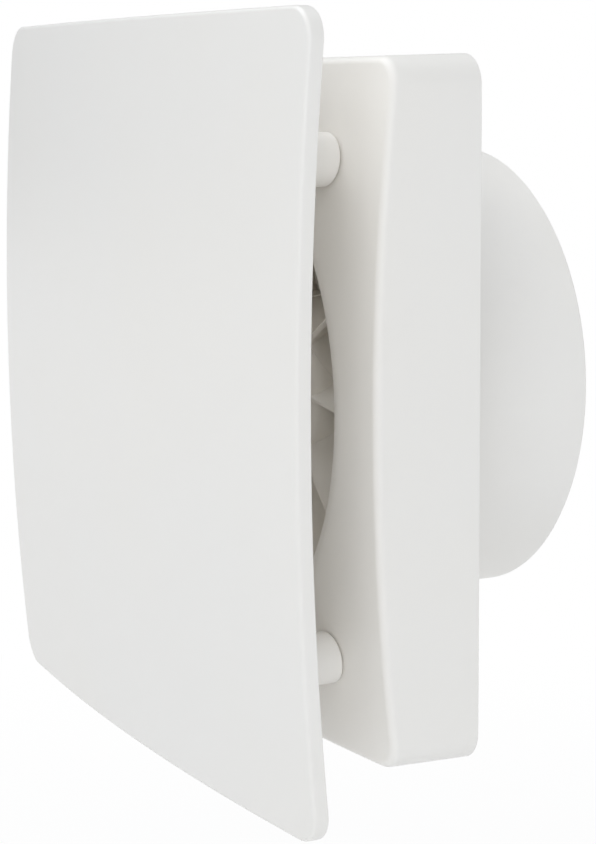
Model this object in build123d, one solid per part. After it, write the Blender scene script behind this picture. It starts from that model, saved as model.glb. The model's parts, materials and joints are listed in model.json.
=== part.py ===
from build123d import *
import math
import os

# Bathroom extractor fan for a nominal 100 mm duct, in millimetres.
# The origin is on the fan's axis, in the plane of the wall that the housing stands on.
# +Y runs into the wall along the duct, +X is right seen from the room, +Z is up.
# "Front" is the room side, at negative Y. Depths are Y values, and radii are measured from the fan axis.

# ---- clearances and allowances
PRESS_FIT = 0.01
FIT = 0.05
SLIDE_FIT = 0.08
SMALL_GAP = 0.1
SCREW_CLEARANCE = 0.15
ASSEMBLY_GAP = 0.2
EASY_FIT = 0.3
TRAY_GAP = 0.4
ROOT = 0.5
PAST = 1.0

# ---- front panel: a square tile, domed both ways
PANEL_W = 156.0
PANEL_H = 156.0
PANEL_CORNER = 6.7
PANEL_APEX = 48.1
PANEL_DOME_R = 820.0
PANEL_RIM = 3.2
PANEL_RIM_W = 2.6
PANEL_SKIN = 2.2
PANEL_EDGE_ROUND = 0.8
PANEL_BACK_ROUND = 0.4
PANEL_RIB_W = 1.6
PANEL_RIB_H = 1.4

# ---- posts that carry the panel, and the pegs that plug into the fascia
POST_X = 49.6
POST_Z = 49.6
POST_R = 5.3
POST_BOSS_WALL = 0.9
POST_BOSS_H = 3.0
POST_TENON_SHOULDER = 1.8
POST_TENON_DEPTH = 3.0
PEG_SHOULDER = 2.3
PEG_LENGTH = 11.6
PEG_TIP = 0.8
PEG_RING_BACK = 5.0
PEG_RING_GAP = 0.03
PEG_GROOVE_DEPTH = 0.9
PEG_GROOVE_W = 1.1
SOCKET_WALL = 2.4
SOCKET_DEPTH = 8.0

# ---- fascia: the square cover with the air inlet
HOUSING_W = 139.3
HOUSING_H = 139.3
HOUSING_CORNER = 6.2
HOUSING_DRAFT = 1.38
HOUSING_APEX = 26.9
HOUSING_DOME_R = 582.0
FASCIA_WALL = 2.2
FASCIA_EDGE_ROUND = 1.5
LEAST_CORNER = 0.6
INLET_LIP_R = 5.5
INLET_COLLAR_WALL = 2.0
INLET_COLLAR_LAP = 2.5
LIP_ARC_STEPS = 6
TONGUE_X = 35.0
TONGUE_W = 10.0
TONGUE_T = 1.2
TONGUE_REACH = 2.6
TONGUE_RISE = 2.7

# ---- mounting tray behind the fascia
PLATE_T = 2.0
RIM_T = 1.6
RIM_DEPTH = 8.0
WALL_SCREW_INSET = 9.05
WALL_SCREW_HOLE_R = 2.25
WALL_SCREW_BOSS_R = 4.6
WALL_SCREW_BOSS_H = 3.0
GUSSET_T = 1.4
GUSSET_H = 7.0
GUSSET_ANGLES = (22.5, 67.5, 112.5, -112.5, -67.5, -22.5)

# ---- duct barrel: impeller shroud in front, duct spigot behind
SPIGOT_R = 49.5
SPIGOT_WALL = 1.5
SPIGOT_CHAMFER = 0.5
SHROUD_STEP = 2.0
SHROUD_SHOULDER = 0.9
SHROUD_SETBACK = 1.7
SHROUD_OVER_POD = 1.4
SHROUD_LIP_ROUND = 1.4
LUG_R = 4.2
LUG_T = 2.0
LUG_OFFSET = 3.6
LUG_ANGLES = (45.0, 135.0, 225.0, 315.0)
LUG_SCREW_R = 1.25
SNAP_ANGLES = (30.0, 150.0, 210.0, 330.0)
SNAP_HEIGHT = 0.8
SNAP_SETBACK = 0.2
SNAP_W = 8.0
SNAP_T = 1.2

# ---- supply entry and terminals, on the left of the barrel
ENTRY_HOLE_R = 5.0
ENTRY_BELOW_CLAMP = 14.0
GROMMET_FLANGE_W = 1.8
GROMMET_FLANGE_T = 1.5
GROMMET_BORE_R = 3.3
GROMMET_ROUND = 0.6
BLOCK_W = 10.0
BLOCK_H = 10.0
BLOCK_CORNER = 0.8
BLOCK_END_GAP = 0.2
POLE_PITCH = 8.0
POLE_COUNT = 3
FIRST_POLE_Z = -0.9
POLE_RISE = 5.0
INSERT_R = 2.2
INSERT_BORE_R = 1.5
INSERT_INSET = 0.8
TERMINAL_SCREW_R = 1.2
TERMINAL_SCREW_X = 2.9
TERMINAL_SCREW_RECESS = 1.2
TERMINAL_WELL_GAP = 0.5
BLOCK_SCREW_R = 1.1
BLOCK_SCREW_HEAD_R = 1.7
BLOCK_SCREW_HEAD_H = 1.3
BLOCK_SCREW_SINK = 2.5
CLAMP_BELOW_BLOCK = 20.1
CLAMP_SCREW_X = 5.0
CLAMP_SCREW_R = 1.25
CLAMP_SCREW_HEAD_R = 2.3
CLAMP_SCREW_HEAD_H = 1.5
CLAMP_BOSS_R = 2.4
CLAMP_BOSS_H = 4.0
CLAMP_T = 2.2
CLAMP_W = 6.0
CLAMP_CORNER = 2.0
CLAMP_TOOTH_R = 1.0
CLAMP_TOOTH_X = 1.6

# ---- motor carrier: pod, guide vanes and ring, slid in from the duct side
POD_FRONT = 4.6
POD_WALL = 1.5
POD_FACE_T = 1.6
POD_EDGE_ROUND = 1.2
POD_INSIDE_GAP = 1.5
VANE_COUNT = 5
VANE_T = 1.6
VANE_SETBACK = 1.0
VANE_BACK_SETBACK = 4.0
VANE_TWIST = 8.0
LEAD_VANE_SETBACK = 3.4
RING_WALL = 1.5
RING_GAP = 0.2

# ---- damper cartridge at the outlet
DAMPER_BEHIND_POD = 2.1
SEAT_RECESS = 5.6
FRAME_T = 2.9
SEAT_WALL = 2.1
FLAP_LAP = 1.0
FLAP_T = 0.9
FLAP_SEAT_GAP = 0.45
FLAP_NOTCH_GAP = 0.45
FLAP_RIB_H = 0.8
FLAP_RIB_W = 1.2
FLAP_RIB_Z = 24.0
FLAP_RIB_START = 16.0
FLAP_RIB_END_GAP = 4.0
PIN_R = 1.0
PIN_LIFT = 0.15
KNUCKLE_WALL = 1.1
KNUCKLE_LENGTH = 14.0
KNUCKLE_FIRST_Z = 12.0
KNUCKLE_GAP = 1.0
PIN_BOSS_WALL = 1.3
PIN_BOSS_LENGTH = 3.8
SPRING_GAP = 0.5
SPRING_WIRE_R = 0.22
SPRING_TURNS = 12
SPRING_PITCH = 0.75
SPRING_LEG = 14.0
SPRING_ANCHOR = 1.5

# ---- impeller
BLADE_COUNT = 9
BLADE_FIRST_ANGLE = -8.0
BLADE_LEAD_ANGLE = 17.0
BLADE_TRAIL_ANGLE = 17.0
BLADE_T = 1.2
BLADE_FRONT_SETBACK = 0.4
BLADE_BACK_SETBACK = 0.6
BLADE_TIP_FRONT_SETBACK = 1.4
BLADE_TIP_BACK_SETBACK = 3.0
BLADE_CAMBER = 1.4
TIP_GAP = 1.2
HUB_LENGTH = 14.0
HUB_TO_POD = 1.0
HUB_WALL = 1.6
HUB_FACE_T = 1.8
HUB_ROUND = 3.0
HUB_NUT_GAP = 0.425
HUB_SLEEVE_WALL = 2.2
HUB_SLEEVE_SHORT = 1.6
HUB_RIB_COUNT = 6
HUB_RIB_T = 1.2
HUB_RIB_NUT_GAP = 2.4
CLIP_W = 2.6
CLIP_T = 0.6
CLIP_NOTCH_L = 1.6
CLIP_NOTCH_W = 0.7

# ---- motor
SHAFT_R = 2.0
SHAFT_STICKS_OUT = 2.8
SHAFT_CHAMFER = 0.3
BUSH_WALL = 2.5
BUSH_CHAMFER = 0.4
BRACKET_BOSS_WALL = 2.5
BRACKET_PLATE_T = 1.5
BRACKET_WAIST_EXTRA = 0.8
BRACKET_END_R = 4.2
BRACKET_FOOT_R = 3.3
BRACKET_FOOT_L = 3.8
FRONT_BOSS_REACH = 4.0
FRONT_BOSS_PROUD = 0.5
REAR_BOSS_REACH = 1.7
REAR_BOSS_PROUD = 0.6
STACK_LENGTH = 10.0
STACK_CORNER = 2.0
ROTOR_R = 10.5
AIR_GAP = 0.4
STACK_SIDE = 6.1
STACK_OVER_BORE = 5.1
WINDOW_UNDER_BORE = 1.7
WINDOW_HALF_W = 10.5
WINDOW_H = 5.4
COIL_LEG = 5.5
BOLT_FROM_BORE = 2.9
BOLT_R = 1.5
BOLT_HEAD_R = 2.75
BOLT_HEAD_H = 1.8
BOLT_SLOT_W = 0.7
BOLT_TIP = 0.4
NUT_AF = 5.5
NUT_H = 2.4
MOUNT_PAD_R = 4.4
MOUNT_PAD_T = 1.2
BOBBIN_WALL = 0.8
BOBBIN_HALF_L = 10.0
BOBBIN_FLANGE_OVER = 0.3
WINDING_T = 3.4
COIL_GAP = 0.2
COIL_PIN_R = 0.4
COIL_PIN_L = 2.8
COIL_PIN_UP = 3.0
COIL_PIN_DOWN = 1.5
COIL_PIN_FORWARD = 2.6
CAGE_RING_L = 2.2
CAGE_RING_W = 4.1
CAGE_RING_INSET = 0.4
ROTOR_OVER = 0.3
BAR_COUNT = 17
BAR_R = 0.8
BAR_INSET = 0.5
SPACER_WALL = 1.4
SHADING_FROM_BORE = 4.4
SHADING_ANGLES = (18.5, 34.7)
SHADING_WIRE_R = 0.7
SHADING_HOLE_R = 0.8
CAP_T = 1.2
CAP_SKIRT = 3.0
CAP_SKIRT_WALL = 1.2
CAP_ROUND = 0.8
CAP_SLOT_L = 14.0
CAP_SLOT_W = 2.0
CAP_SLOT_COUNT = 12
CAP_SLOT_SHARE = 0.62

# ---- motor leads
LEAD_R = 0.7
LEAD_Z = 0.9
LEAD_BEND = 2.1
LEAD_CHANNEL_DEPTH = 1.9
LEAD_IN_BLOCK = 1.2
LEAD_TURN_GAP = 2.4

# ---- fascia screw, and the shape of every cross-head screw
FASCIA_SCREW_Y = -6.6
FASCIA_SCREW_R = 1.5
FASCIA_SCREW_HEAD_R = 2.8
FASCIA_SCREW_HEAD_H = 1.6
FASCIA_SCREW_L = 9.0
FASCIA_SCREW_SINK = 0.4
SCREW_PAD_HALF_W = 5.5
SCREW_PAD_HALF_D = 4.9
PILOT_EXTRA = 0.9
CROSS_SLOT_W = 0.5
CROSS_SLOT_SPAN = 1.3
CROSS_SLOT_DEPTH = 0.55


def facing(depth):
    """Plane at a depth, drawn as seen from the room: local x is +X, local y is +Z."""
    return Plane(origin=(0, depth, 0), x_dir=(1, 0, 0), z_dir=(0, -1, 0))


def slab(outline, front, back):
    """Flat outline in X and Z, filled from depth `front` to depth `back`."""
    return extrude(facing(back) * outline, amount=back - front)


def rod(radius, front, back, x=0.0, z=0.0):
    """Round bar along Y."""
    return slab(Pos(x, z) * Circle(radius), front, back)


def tube(outer, inner, front, back, x=0.0, z=0.0):
    """Round tube along Y."""
    return slab(Pos(x, z) * (Circle(outer) - Circle(inner)), front, back)


def box(x_range, y_range, z_range):
    """Block between two values on each axis."""
    size = [max(pair) - min(pair) for pair in (x_range, y_range, z_range)]
    middle = [sum(pair) / 2 for pair in (x_range, y_range, z_range)]
    return Pos(*middle) * Box(*size)


def upright(radius, low, high, x=0.0, y=0.0):
    """Round bar along Z."""
    return Pos(x, y, (low + high) / 2) * Cylinder(radius, abs(high - low))


def crosswise(radius, left, right, y=0.0, z=0.0):
    """Round bar along X."""
    return Pos((left + right) / 2, y, z) * Rot(0, 90, 0) * Cylinder(radius, abs(right - left))


def turned(*outline):
    """Ring turned about the fan axis from (radius, depth) corners."""
    face = make_face(Polyline(*[(r, y, 0) for r, y in outline], close=True))
    return revolve(face, axis=Axis.Y)


def dome(apex, radius):
    """Large ball whose foremost point stands `apex` in front of the wall."""
    return Pos(0, radius - apex, 0) * Sphere(radius)


def dome_depth(apex, radius, distance):
    """Depth of that ball's front at a distance from the fan axis."""
    return -apex + radius - math.sqrt(radius ** 2 - distance ** 2)


def rounded(width, height, corner):
    """Rectangle with rounded corners, which keep a small radius when the walls use them up."""
    return RectangleRounded(width, height, max(corner, LEAST_CORNER))


def corners(half_x, half_z):
    """Centres of a rectangle's four corners."""
    return [(x, z) for x in (-half_x, half_x) for z in (-half_z, half_z)]


def polar(radius, angle):
    """Point in X and Z at an angle from +X towards +Z."""
    turn = math.radians(angle)
    return radius * math.cos(turn), radius * math.sin(turn)


def joined(shapes):
    """One solid from pieces that meet."""
    total = shapes[0]
    for shape in shapes[1:]:
        total = total + shape
    return total


def spin(shape, angle):
    """Turn a shape about the fan axis, from +X towards +Z."""
    return shape.rotate(Axis.Y, -angle)


def export(name, shape):
    """Write one node; several solids become one compound."""
    solids = shape if isinstance(shape, list) else [shape]
    flat = [solid for item in solids for solid in item.solids()]
    body = flat[0] if len(flat) == 1 else Compound(children=flat)
    body.label = name
    export_step(body, os.path.join("parts", name + ".step"))


# ---- sizes that follow from the ones above: radii round the fan axis
SPIGOT_IN_R = SPIGOT_R - SPIGOT_WALL
SHROUD_R = SPIGOT_IN_R - SHROUD_STEP
SHROUD_OUT_R = SPIGOT_R + SHROUD_SHOULDER
INLET_R = SHROUD_OUT_R + EASY_FIT
RING_R = SPIGOT_IN_R - EASY_FIT
SEAT_R = RING_R - SEAT_WALL
FLAP_R = SEAT_R + FLAP_LAP
TIP_R = SHROUD_R - TIP_GAP
LUG_CENTRE_R = SHROUD_OUT_R + LUG_OFFSET
LEAD_CHANNEL_R = SHROUD_R + LEAD_CHANNEL_DEPTH

# ---- the motor's cross-section, outwards from the shaft
BORE_R = ROTOR_R + AIR_GAP
STACK_HALF_W = BORE_R + STACK_SIDE
STACK_TOP = BORE_R + STACK_OVER_BORE
WINDOW_TOP = -BORE_R - WINDOW_UNDER_BORE
WINDOW_BOTTOM = WINDOW_TOP - WINDOW_H
STACK_BOTTOM = WINDOW_BOTTOM - COIL_LEG
BOLT_X = BORE_R + BOLT_FROM_BORE
NUT_R = NUT_AF / math.sqrt(3)
HUB_R = BOLT_X + NUT_R + HUB_NUT_GAP + HUB_WALL
POD_R = math.hypot(STACK_HALF_W, STACK_BOTTOM) + POD_INSIDE_GAP + POD_WALL
POD_IN_R = POD_R - POD_WALL
BUSH_R = SHAFT_R + BUSH_WALL
BRACKET_BOSS_R = BUSH_R + BRACKET_BOSS_WALL
SPACER_R = SHAFT_R + SPACER_WALL
CLIP_R = SHAFT_R + CLIP_W
HUB_SLEEVE_R = SHAFT_R + HUB_SLEEVE_WALL

# ---- depths, from the pod's face backwards
PAD_FRONT = POD_FRONT + POD_FACE_T
PLATE_FRONT = PAD_FRONT + MOUNT_PAD_T
FRONT_FEET = PLATE_FRONT + BRACKET_PLATE_T
STACK_FRONT = FRONT_FEET + BRACKET_FOOT_L
STACK_BACK = STACK_FRONT + STACK_LENGTH
REAR_FEET = STACK_BACK + BRACKET_FOOT_L
REAR_PLATE_BACK = REAR_FEET + BRACKET_PLATE_T
FRONT_BOSS_FRONT = PLATE_FRONT - FRONT_BOSS_REACH
FRONT_BOSS_BACK = FRONT_FEET + FRONT_BOSS_PROUD
REAR_BOSS_FRONT = REAR_FEET - REAR_BOSS_PROUD
REAR_BOSS_BACK = REAR_PLATE_BACK + REAR_BOSS_REACH
SHAFT_BACK = REAR_BOSS_BACK + SMALL_GAP
POD_BACK = max(SHAFT_BACK, REAR_PLATE_BACK + BOLT_HEAD_H) + ASSEMBLY_GAP
CORE_MID_Y = (STACK_FRONT + STACK_BACK) / 2
ROTOR_FRONT = STACK_FRONT - ROTOR_OVER
ROTOR_BACK = STACK_BACK + ROTOR_OVER
VANE_FRONT = PAD_FRONT + VANE_SETBACK
LEAD_VANE_FRONT = PAD_FRONT + LEAD_VANE_SETBACK
VANE_BACK = POD_BACK - VANE_BACK_SETBACK
VANE_LEAD_Y = (PAD_FRONT + LEAD_VANE_FRONT) / 2

# ---- depths of the damper and the spigot's end
SEAT_Y = POD_BACK + CAP_T + DAMPER_BEHIND_POD
SPIGOT_LENGTH = SEAT_Y + SEAT_RECESS
FRAME_FRONT = SEAT_Y - FRAME_T
FLAP_FRONT = SEAT_Y + FLAP_SEAT_GAP
FLAP_BACK = FLAP_FRONT + FLAP_T
KNUCKLE_R = PIN_R + KNUCKLE_WALL
PIN_BOSS_R = PIN_R + PIN_BOSS_WALL
PIN_BOSS_INNER_Z = RING_R - PIN_BOSS_LENGTH
PIN_X = KNUCKLE_R + KNUCKLE_GAP / 2
PIN_Y = FLAP_FRONT + KNUCKLE_R + PIN_LIFT
SEAT_BAR_HALF = PIN_X + FLAP_LAP + KNUCKLE_GAP / 2
SPRING_COIL_R = PIN_R + SPRING_GAP + SPRING_WIRE_R
SPRING_HALF = SPRING_TURNS * SPRING_PITCH / 2

# ---- depths from the pod's face forwards
HUB_BACK = POD_FRONT - HUB_TO_POD
HUB_FRONT = HUB_BACK - HUB_LENGTH
SHAFT_FRONT = HUB_FRONT - SHAFT_STICKS_OUT
SHROUD_BACK = POD_FRONT + SHROUD_OVER_POD
LIP_TOP = dome_depth(HOUSING_APEX, HOUSING_DOME_R, INLET_R)
SHROUD_FRONT = LIP_TOP + INLET_LIP_R + SHROUD_SETBACK
INLET_COLLAR_BACK = SHROUD_FRONT + INLET_COLLAR_LAP

# ---- posts and pegs
POST_AT = math.hypot(POST_X, POST_Z)
PEG_R = POST_R - PEG_SHOULDER
SOCKET_R = PEG_R + SLIDE_FIT
POST_TENON_R = POST_R - POST_TENON_SHOULDER
BOSS_BACK = dome_depth(PANEL_APEX, PANEL_DOME_R, POST_AT) + PANEL_SKIN + POST_BOSS_H
FACE_AT_POST = dome_depth(HOUSING_APEX, HOUSING_DOME_R, POST_AT)
PEG_BACK = FACE_AT_POST + PEG_LENGTH
RING_Y = PEG_BACK - PEG_RING_BACK
PEG_RING_R = (SLIDE_FIT + PEG_GROOVE_DEPTH) / 2 - PEG_RING_GAP

# ---- the tray inside the fascia, and what stands on it
TRAY_W = HOUSING_W - 2 * (FASCIA_WALL + TRAY_GAP)
TRAY_H = HOUSING_H - 2 * (FASCIA_WALL + TRAY_GAP)
TRAY_CORNER = HOUSING_CORNER - FASCIA_WALL - TRAY_GAP
TRAY_INSIDE_X = TRAY_W / 2 - RIM_T - EASY_FIT
WALL_SCREW_X = TRAY_W / 2 - WALL_SCREW_INSET
WALL_SCREW_Z = TRAY_H / 2 - WALL_SCREW_INSET
GROMMET_FLANGE_R = ENTRY_HOLE_R + GROMMET_FLANGE_W
CLAMP_HALF = CLAMP_SCREW_X + CLAMP_BOSS_R
CLAMP_SEAT = -PLATE_T - CLAMP_BOSS_H
CLAMP_FRONT = CLAMP_SEAT - CLAMP_T
CLAMP_Z = FIRST_POLE_Z - CLAMP_BELOW_BLOCK
ENTRY_Z = CLAMP_Z - ENTRY_BELOW_CLAMP
BLOCK_X = BLOCK_W / 2 - TRAY_INSIDE_X
CLAMP_X = CLAMP_HALF - TRAY_INSIDE_X
ENTRY_X = GROMMET_FLANGE_R - TRAY_INSIDE_X
BLOCK_FRONT = -PLATE_T - BLOCK_H
BLOCK_SEAT = BLOCK_FRONT + BLOCK_SCREW_SINK
POLE_Y = -PLATE_T - POLE_RISE
POLES = [FIRST_POLE_Z + POLE_PITCH * step for step in range(POLE_COUNT)]
BLOCK_SCREWS = [(low + high) / 2 for low, high in zip(POLES, POLES[1:])]
BLOCK_Z = (POLES[0] + POLES[-1]) / 2
BLOCK_L = POLE_PITCH * POLE_COUNT - 2 * BLOCK_END_GAP

# ---- the fascia's screw and tongues
FLOOR_Z = -HOUSING_H / 2
SCREW_HEAD_Z = FLOOR_Z + FASCIA_SCREW_SINK
SCREW_SEAT_Z = SCREW_HEAD_Z + FASCIA_SCREW_HEAD_H
SCREW_PAD_Z = SCREW_SEAT_Z + FASCIA_WALL + FASCIA_SCREW_SINK / 2
SCREW_PAD_Y = (FASCIA_SCREW_Y - SCREW_PAD_HALF_D, FASCIA_SCREW_Y + SCREW_PAD_HALF_D)
BOSS_LOW = SCREW_PAD_Z + EASY_FIT
PILOT_TOP = SCREW_SEAT_Z + FASCIA_SCREW_L + PILOT_EXTRA
TONGUE_Y = -PLATE_T - TONGUE_RISE


# ---------------------------------------------------------------- front panel


def panel_ball(depth):
    """Ball that lies a depth behind the panel's front surface."""
    return dome(PANEL_APEX - depth, PANEL_DOME_R - depth)


def panel_outline(inset):
    """The panel's rounded square, drawn in by an inset."""
    return rounded(PANEL_W - 2 * inset, PANEL_H - 2 * inset, PANEL_CORNER - inset)


def panel_shell():
    """Domed skin with a deeper rim, its front and back edges rounded."""
    front = -PANEL_APEX - PAST
    shell = slab(panel_outline(0), front, 0) & panel_ball(0)
    shell -= panel_ball(PANEL_RIM)
    shell -= slab(panel_outline(PANEL_RIM_W), front, 0) & panel_ball(PANEL_SKIN)
    face = shell.faces().sort_by(Axis.Y)[0]
    shell = fillet(face.outer_wire().edges(), PANEL_EDGE_ROUND)
    rings = [f for f in shell.faces() if f.geom_type == GeomType.SPHERE and len(f.inner_wires()) == 1]
    return fillet(rings[0].outer_wire().edges(), PANEL_BACK_ROUND)


def front_panel():
    """Panel shell with four bosses for the posts and ribs between them."""
    front = -PANEL_APEX - PAST
    skin_middle = panel_ball(PANEL_SKIN / 2)
    rib_zone = skin_middle - panel_ball(PANEL_SKIN + PANEL_RIB_H)
    ribs = []
    for side in (-1, 1):
        ribs.append(Pos(side * POST_X, 0) * Rectangle(PANEL_RIB_W, 2 * POST_Z))
        ribs.append(Pos(0, side * POST_Z) * Rectangle(2 * POST_X, PANEL_RIB_W))
    panel = panel_shell() + (slab(joined(ribs), front, BOSS_BACK) & rib_zone)
    for x, z in corners(POST_X, POST_Z):
        panel += rod(POST_R + POST_BOSS_WALL, front, BOSS_BACK, x, z) & skin_middle
    for x, z in corners(POST_X, POST_Z):
        panel -= rod(POST_TENON_R + FIT, BOSS_BACK - POST_TENON_DEPTH - FIT, BOSS_BACK, x, z)
    return panel


def post(x, z):
    """Round spacer: tenon in the panel, shoulder against the fascia, peg with an O-ring groove."""
    body = rod(POST_R, BOSS_BACK, 0, x, z)
    body -= dome(HOUSING_APEX + EASY_FIT, HOUSING_DOME_R + EASY_FIT)
    body += rod(POST_TENON_R, BOSS_BACK - POST_TENON_DEPTH, BOSS_BACK + ROOT, x, z)
    peg = rod(PEG_R, BOSS_BACK + ROOT, PEG_BACK, x, z)
    peg = chamfer(peg.edges().group_by(Axis.Y)[-1], PEG_TIP)
    half_groove = PEG_GROOVE_W / 2
    groove = tube(PEG_R + PAST, PEG_R - PEG_GROOVE_DEPTH, RING_Y - half_groove, RING_Y + half_groove, x, z)
    return body + peg - groove


def panel_posts():
    """The four posts."""
    return [post(x, z) for x, z in corners(POST_X, POST_Z)]


def post_rings():
    """Rubber O-ring on each peg, which makes it grip in its socket."""
    middle = PEG_R - PEG_GROOVE_DEPTH + PEG_RING_GAP + PEG_RING_R
    ring = Rot(90, 0, 0) * Torus(middle, PEG_RING_R)
    return [Pos(x, RING_Y, z) * ring for x, z in corners(POST_X, POST_Z)]


# ---------------------------------------------------------------- fascia


def inlet_collar():
    """Material left behind the rounded inlet lip, and the short collar behind it."""
    lip_y = LIP_TOP + INLET_LIP_R
    lip_r = INLET_R + INLET_LIP_R
    back_r = INLET_LIP_R - INLET_COLLAR_WALL
    front = LIP_TOP - FASCIA_WALL
    points = [(INLET_R - PAST, front), (lip_r, front), (lip_r, lip_y - back_r)]
    for step in range(1, LIP_ARC_STEPS + 1):
        turn = math.pi / 2 * step / LIP_ARC_STEPS
        points.append((lip_r - back_r * math.sin(turn), lip_y - back_r * math.cos(turn)))
    points += [(INLET_R + INLET_COLLAR_WALL, INLET_COLLAR_BACK), (INLET_R - PAST, INLET_COLLAR_BACK)]
    return turned(*points)


def fascia_shell():
    """Drafted square cover with a domed face and a rounded inlet."""
    reach = 2 * HOUSING_APEX
    outline = rounded(HOUSING_W, HOUSING_H, HOUSING_CORNER)
    block = extrude(facing(0) * outline, amount=reach, taper=HOUSING_DRAFT)
    block &= dome(HOUSING_APEX, HOUSING_DOME_R)
    face = block.faces().sort_by(Axis.Y)[0]
    block = fillet(face.outer_wire().edges(), FASCIA_EDGE_ROUND)
    inside_w = HOUSING_W - 2 * FASCIA_WALL
    inside_h = HOUSING_H - 2 * FASCIA_WALL
    inside = rounded(inside_w, inside_h, HOUSING_CORNER - FASCIA_WALL)
    cavity = extrude(facing(0) * inside, amount=reach, taper=HOUSING_DRAFT)
    cavity &= dome(HOUSING_APEX - FASCIA_WALL, HOUSING_DOME_R - FASCIA_WALL)
    shell = block - (cavity - inlet_collar())
    shell -= rod(INLET_R, -HOUSING_APEX - PAST, 0)
    rings = [e for e in shell.edges().filter_by(GeomType.CIRCLE) if abs(e.radius - INLET_R) < PRESS_FIT]
    return fillet(min(rings, key=lambda edge: edge.center().Y), INLET_LIP_R)


def fascia():
    """Cover with four panel sockets, two tongues at the top and a screw pad at the bottom."""
    shell = fascia_shell()
    behind_face = dome(HOUSING_APEX - FASCIA_WALL / 2, HOUSING_DOME_R - FASCIA_WALL / 2)
    socket_back = FACE_AT_POST + SOCKET_DEPTH
    for x, z in corners(POST_X, POST_Z):
        shell += rod(SOCKET_R + SOCKET_WALL, FACE_AT_POST - FASCIA_WALL, socket_back, x, z) & behind_face
    for x, z in corners(POST_X, POST_Z):
        shell -= rod(SOCKET_R, FACE_AT_POST - FASCIA_WALL, socket_back + PAST, x, z)
    wall_in = HOUSING_H / 2 - FASCIA_WALL
    tongue_y = (TONGUE_Y - TONGUE_T / 2, TONGUE_Y + TONGUE_T / 2)
    for x in (-TONGUE_X, TONGUE_X):
        tongue_x = (x - TONGUE_W / 2, x + TONGUE_W / 2)
        shell += box(tongue_x, tongue_y, (wall_in - TONGUE_REACH, wall_in + FASCIA_WALL / 2))
    pad_x = (-SCREW_PAD_HALF_W, SCREW_PAD_HALF_W)
    shell += box(pad_x, SCREW_PAD_Y, (FLOOR_Z + FASCIA_WALL / 2, SCREW_PAD_Z))
    below = FLOOR_Z - PAST
    shell -= upright(FASCIA_SCREW_HEAD_R + EASY_FIT, below, SCREW_SEAT_Z, y=FASCIA_SCREW_Y)
    shell -= upright(FASCIA_SCREW_R + EASY_FIT, below, SCREW_PAD_Z + PAST, y=FASCIA_SCREW_Y)
    return shell


def fascia_screw():
    """Pan-head screw that enters the tray's lower boss from below."""
    screw = upright(FASCIA_SCREW_HEAD_R, SCREW_HEAD_Z, SCREW_SEAT_Z, y=FASCIA_SCREW_Y)
    screw = fillet(screw.edges().group_by(Axis.Z)[0], FASCIA_SCREW_HEAD_H / 3)
    screw += upright(FASCIA_SCREW_R, SCREW_SEAT_Z - ROOT, SCREW_SEAT_Z + FASCIA_SCREW_L, y=FASCIA_SCREW_Y)
    span = CROSS_SLOT_SPAN * FASCIA_SCREW_HEAD_R
    cross = Box(span, CROSS_SLOT_W, 2 * CROSS_SLOT_DEPTH * FASCIA_SCREW_HEAD_H)
    for angle in (0, 90):
        screw -= Pos(0, FASCIA_SCREW_Y, SCREW_HEAD_Z) * Rot(0, 0, angle) * cross
    return screw


# ---------------------------------------------------------------- tray and duct barrel


def gusset(angle):
    """Rib on the tray floor, from beside the barrel to the rim."""
    reach = math.hypot(TRAY_W, TRAY_H) / 2
    depth = (-PLATE_T - GUSSET_H, -PLATE_T / 2)
    rib = box((SHROUD_OUT_R + EASY_FIT, reach), depth, (-GUSSET_T / 2, GUSSET_T / 2))
    return spin(rib, angle)


def tray_pan():
    """Flat plate with its rim, ribs and the four bosses round the wall screws."""
    outline = rounded(TRAY_W, TRAY_H, TRAY_CORNER)
    inner = rounded(TRAY_W - 2 * RIM_T, TRAY_H - 2 * RIM_T, TRAY_CORNER - RIM_T)
    pan = slab(outline, -PLATE_T, 0) + slab(outline - inner, -RIM_DEPTH, -PLATE_T)
    ribs = joined([gusset(angle) for angle in GUSSET_ANGLES])
    pan += ribs & slab(outline, -PLATE_T - GUSSET_H, 0)
    for x, z in corners(WALL_SCREW_X, WALL_SCREW_Z):
        pan += rod(WALL_SCREW_BOSS_R, -PLATE_T - WALL_SCREW_BOSS_H, -PLATE_T / 2, x, z)
    pan -= rod(SHROUD_OUT_R + SLIDE_FIT, -PLATE_T - PAST, PAST)
    for x, z in corners(WALL_SCREW_X, WALL_SCREW_Z):
        pan -= rod(WALL_SCREW_HOLE_R, -PLATE_T - WALL_SCREW_BOSS_H - PAST, PAST, x, z)
    return pan


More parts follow.
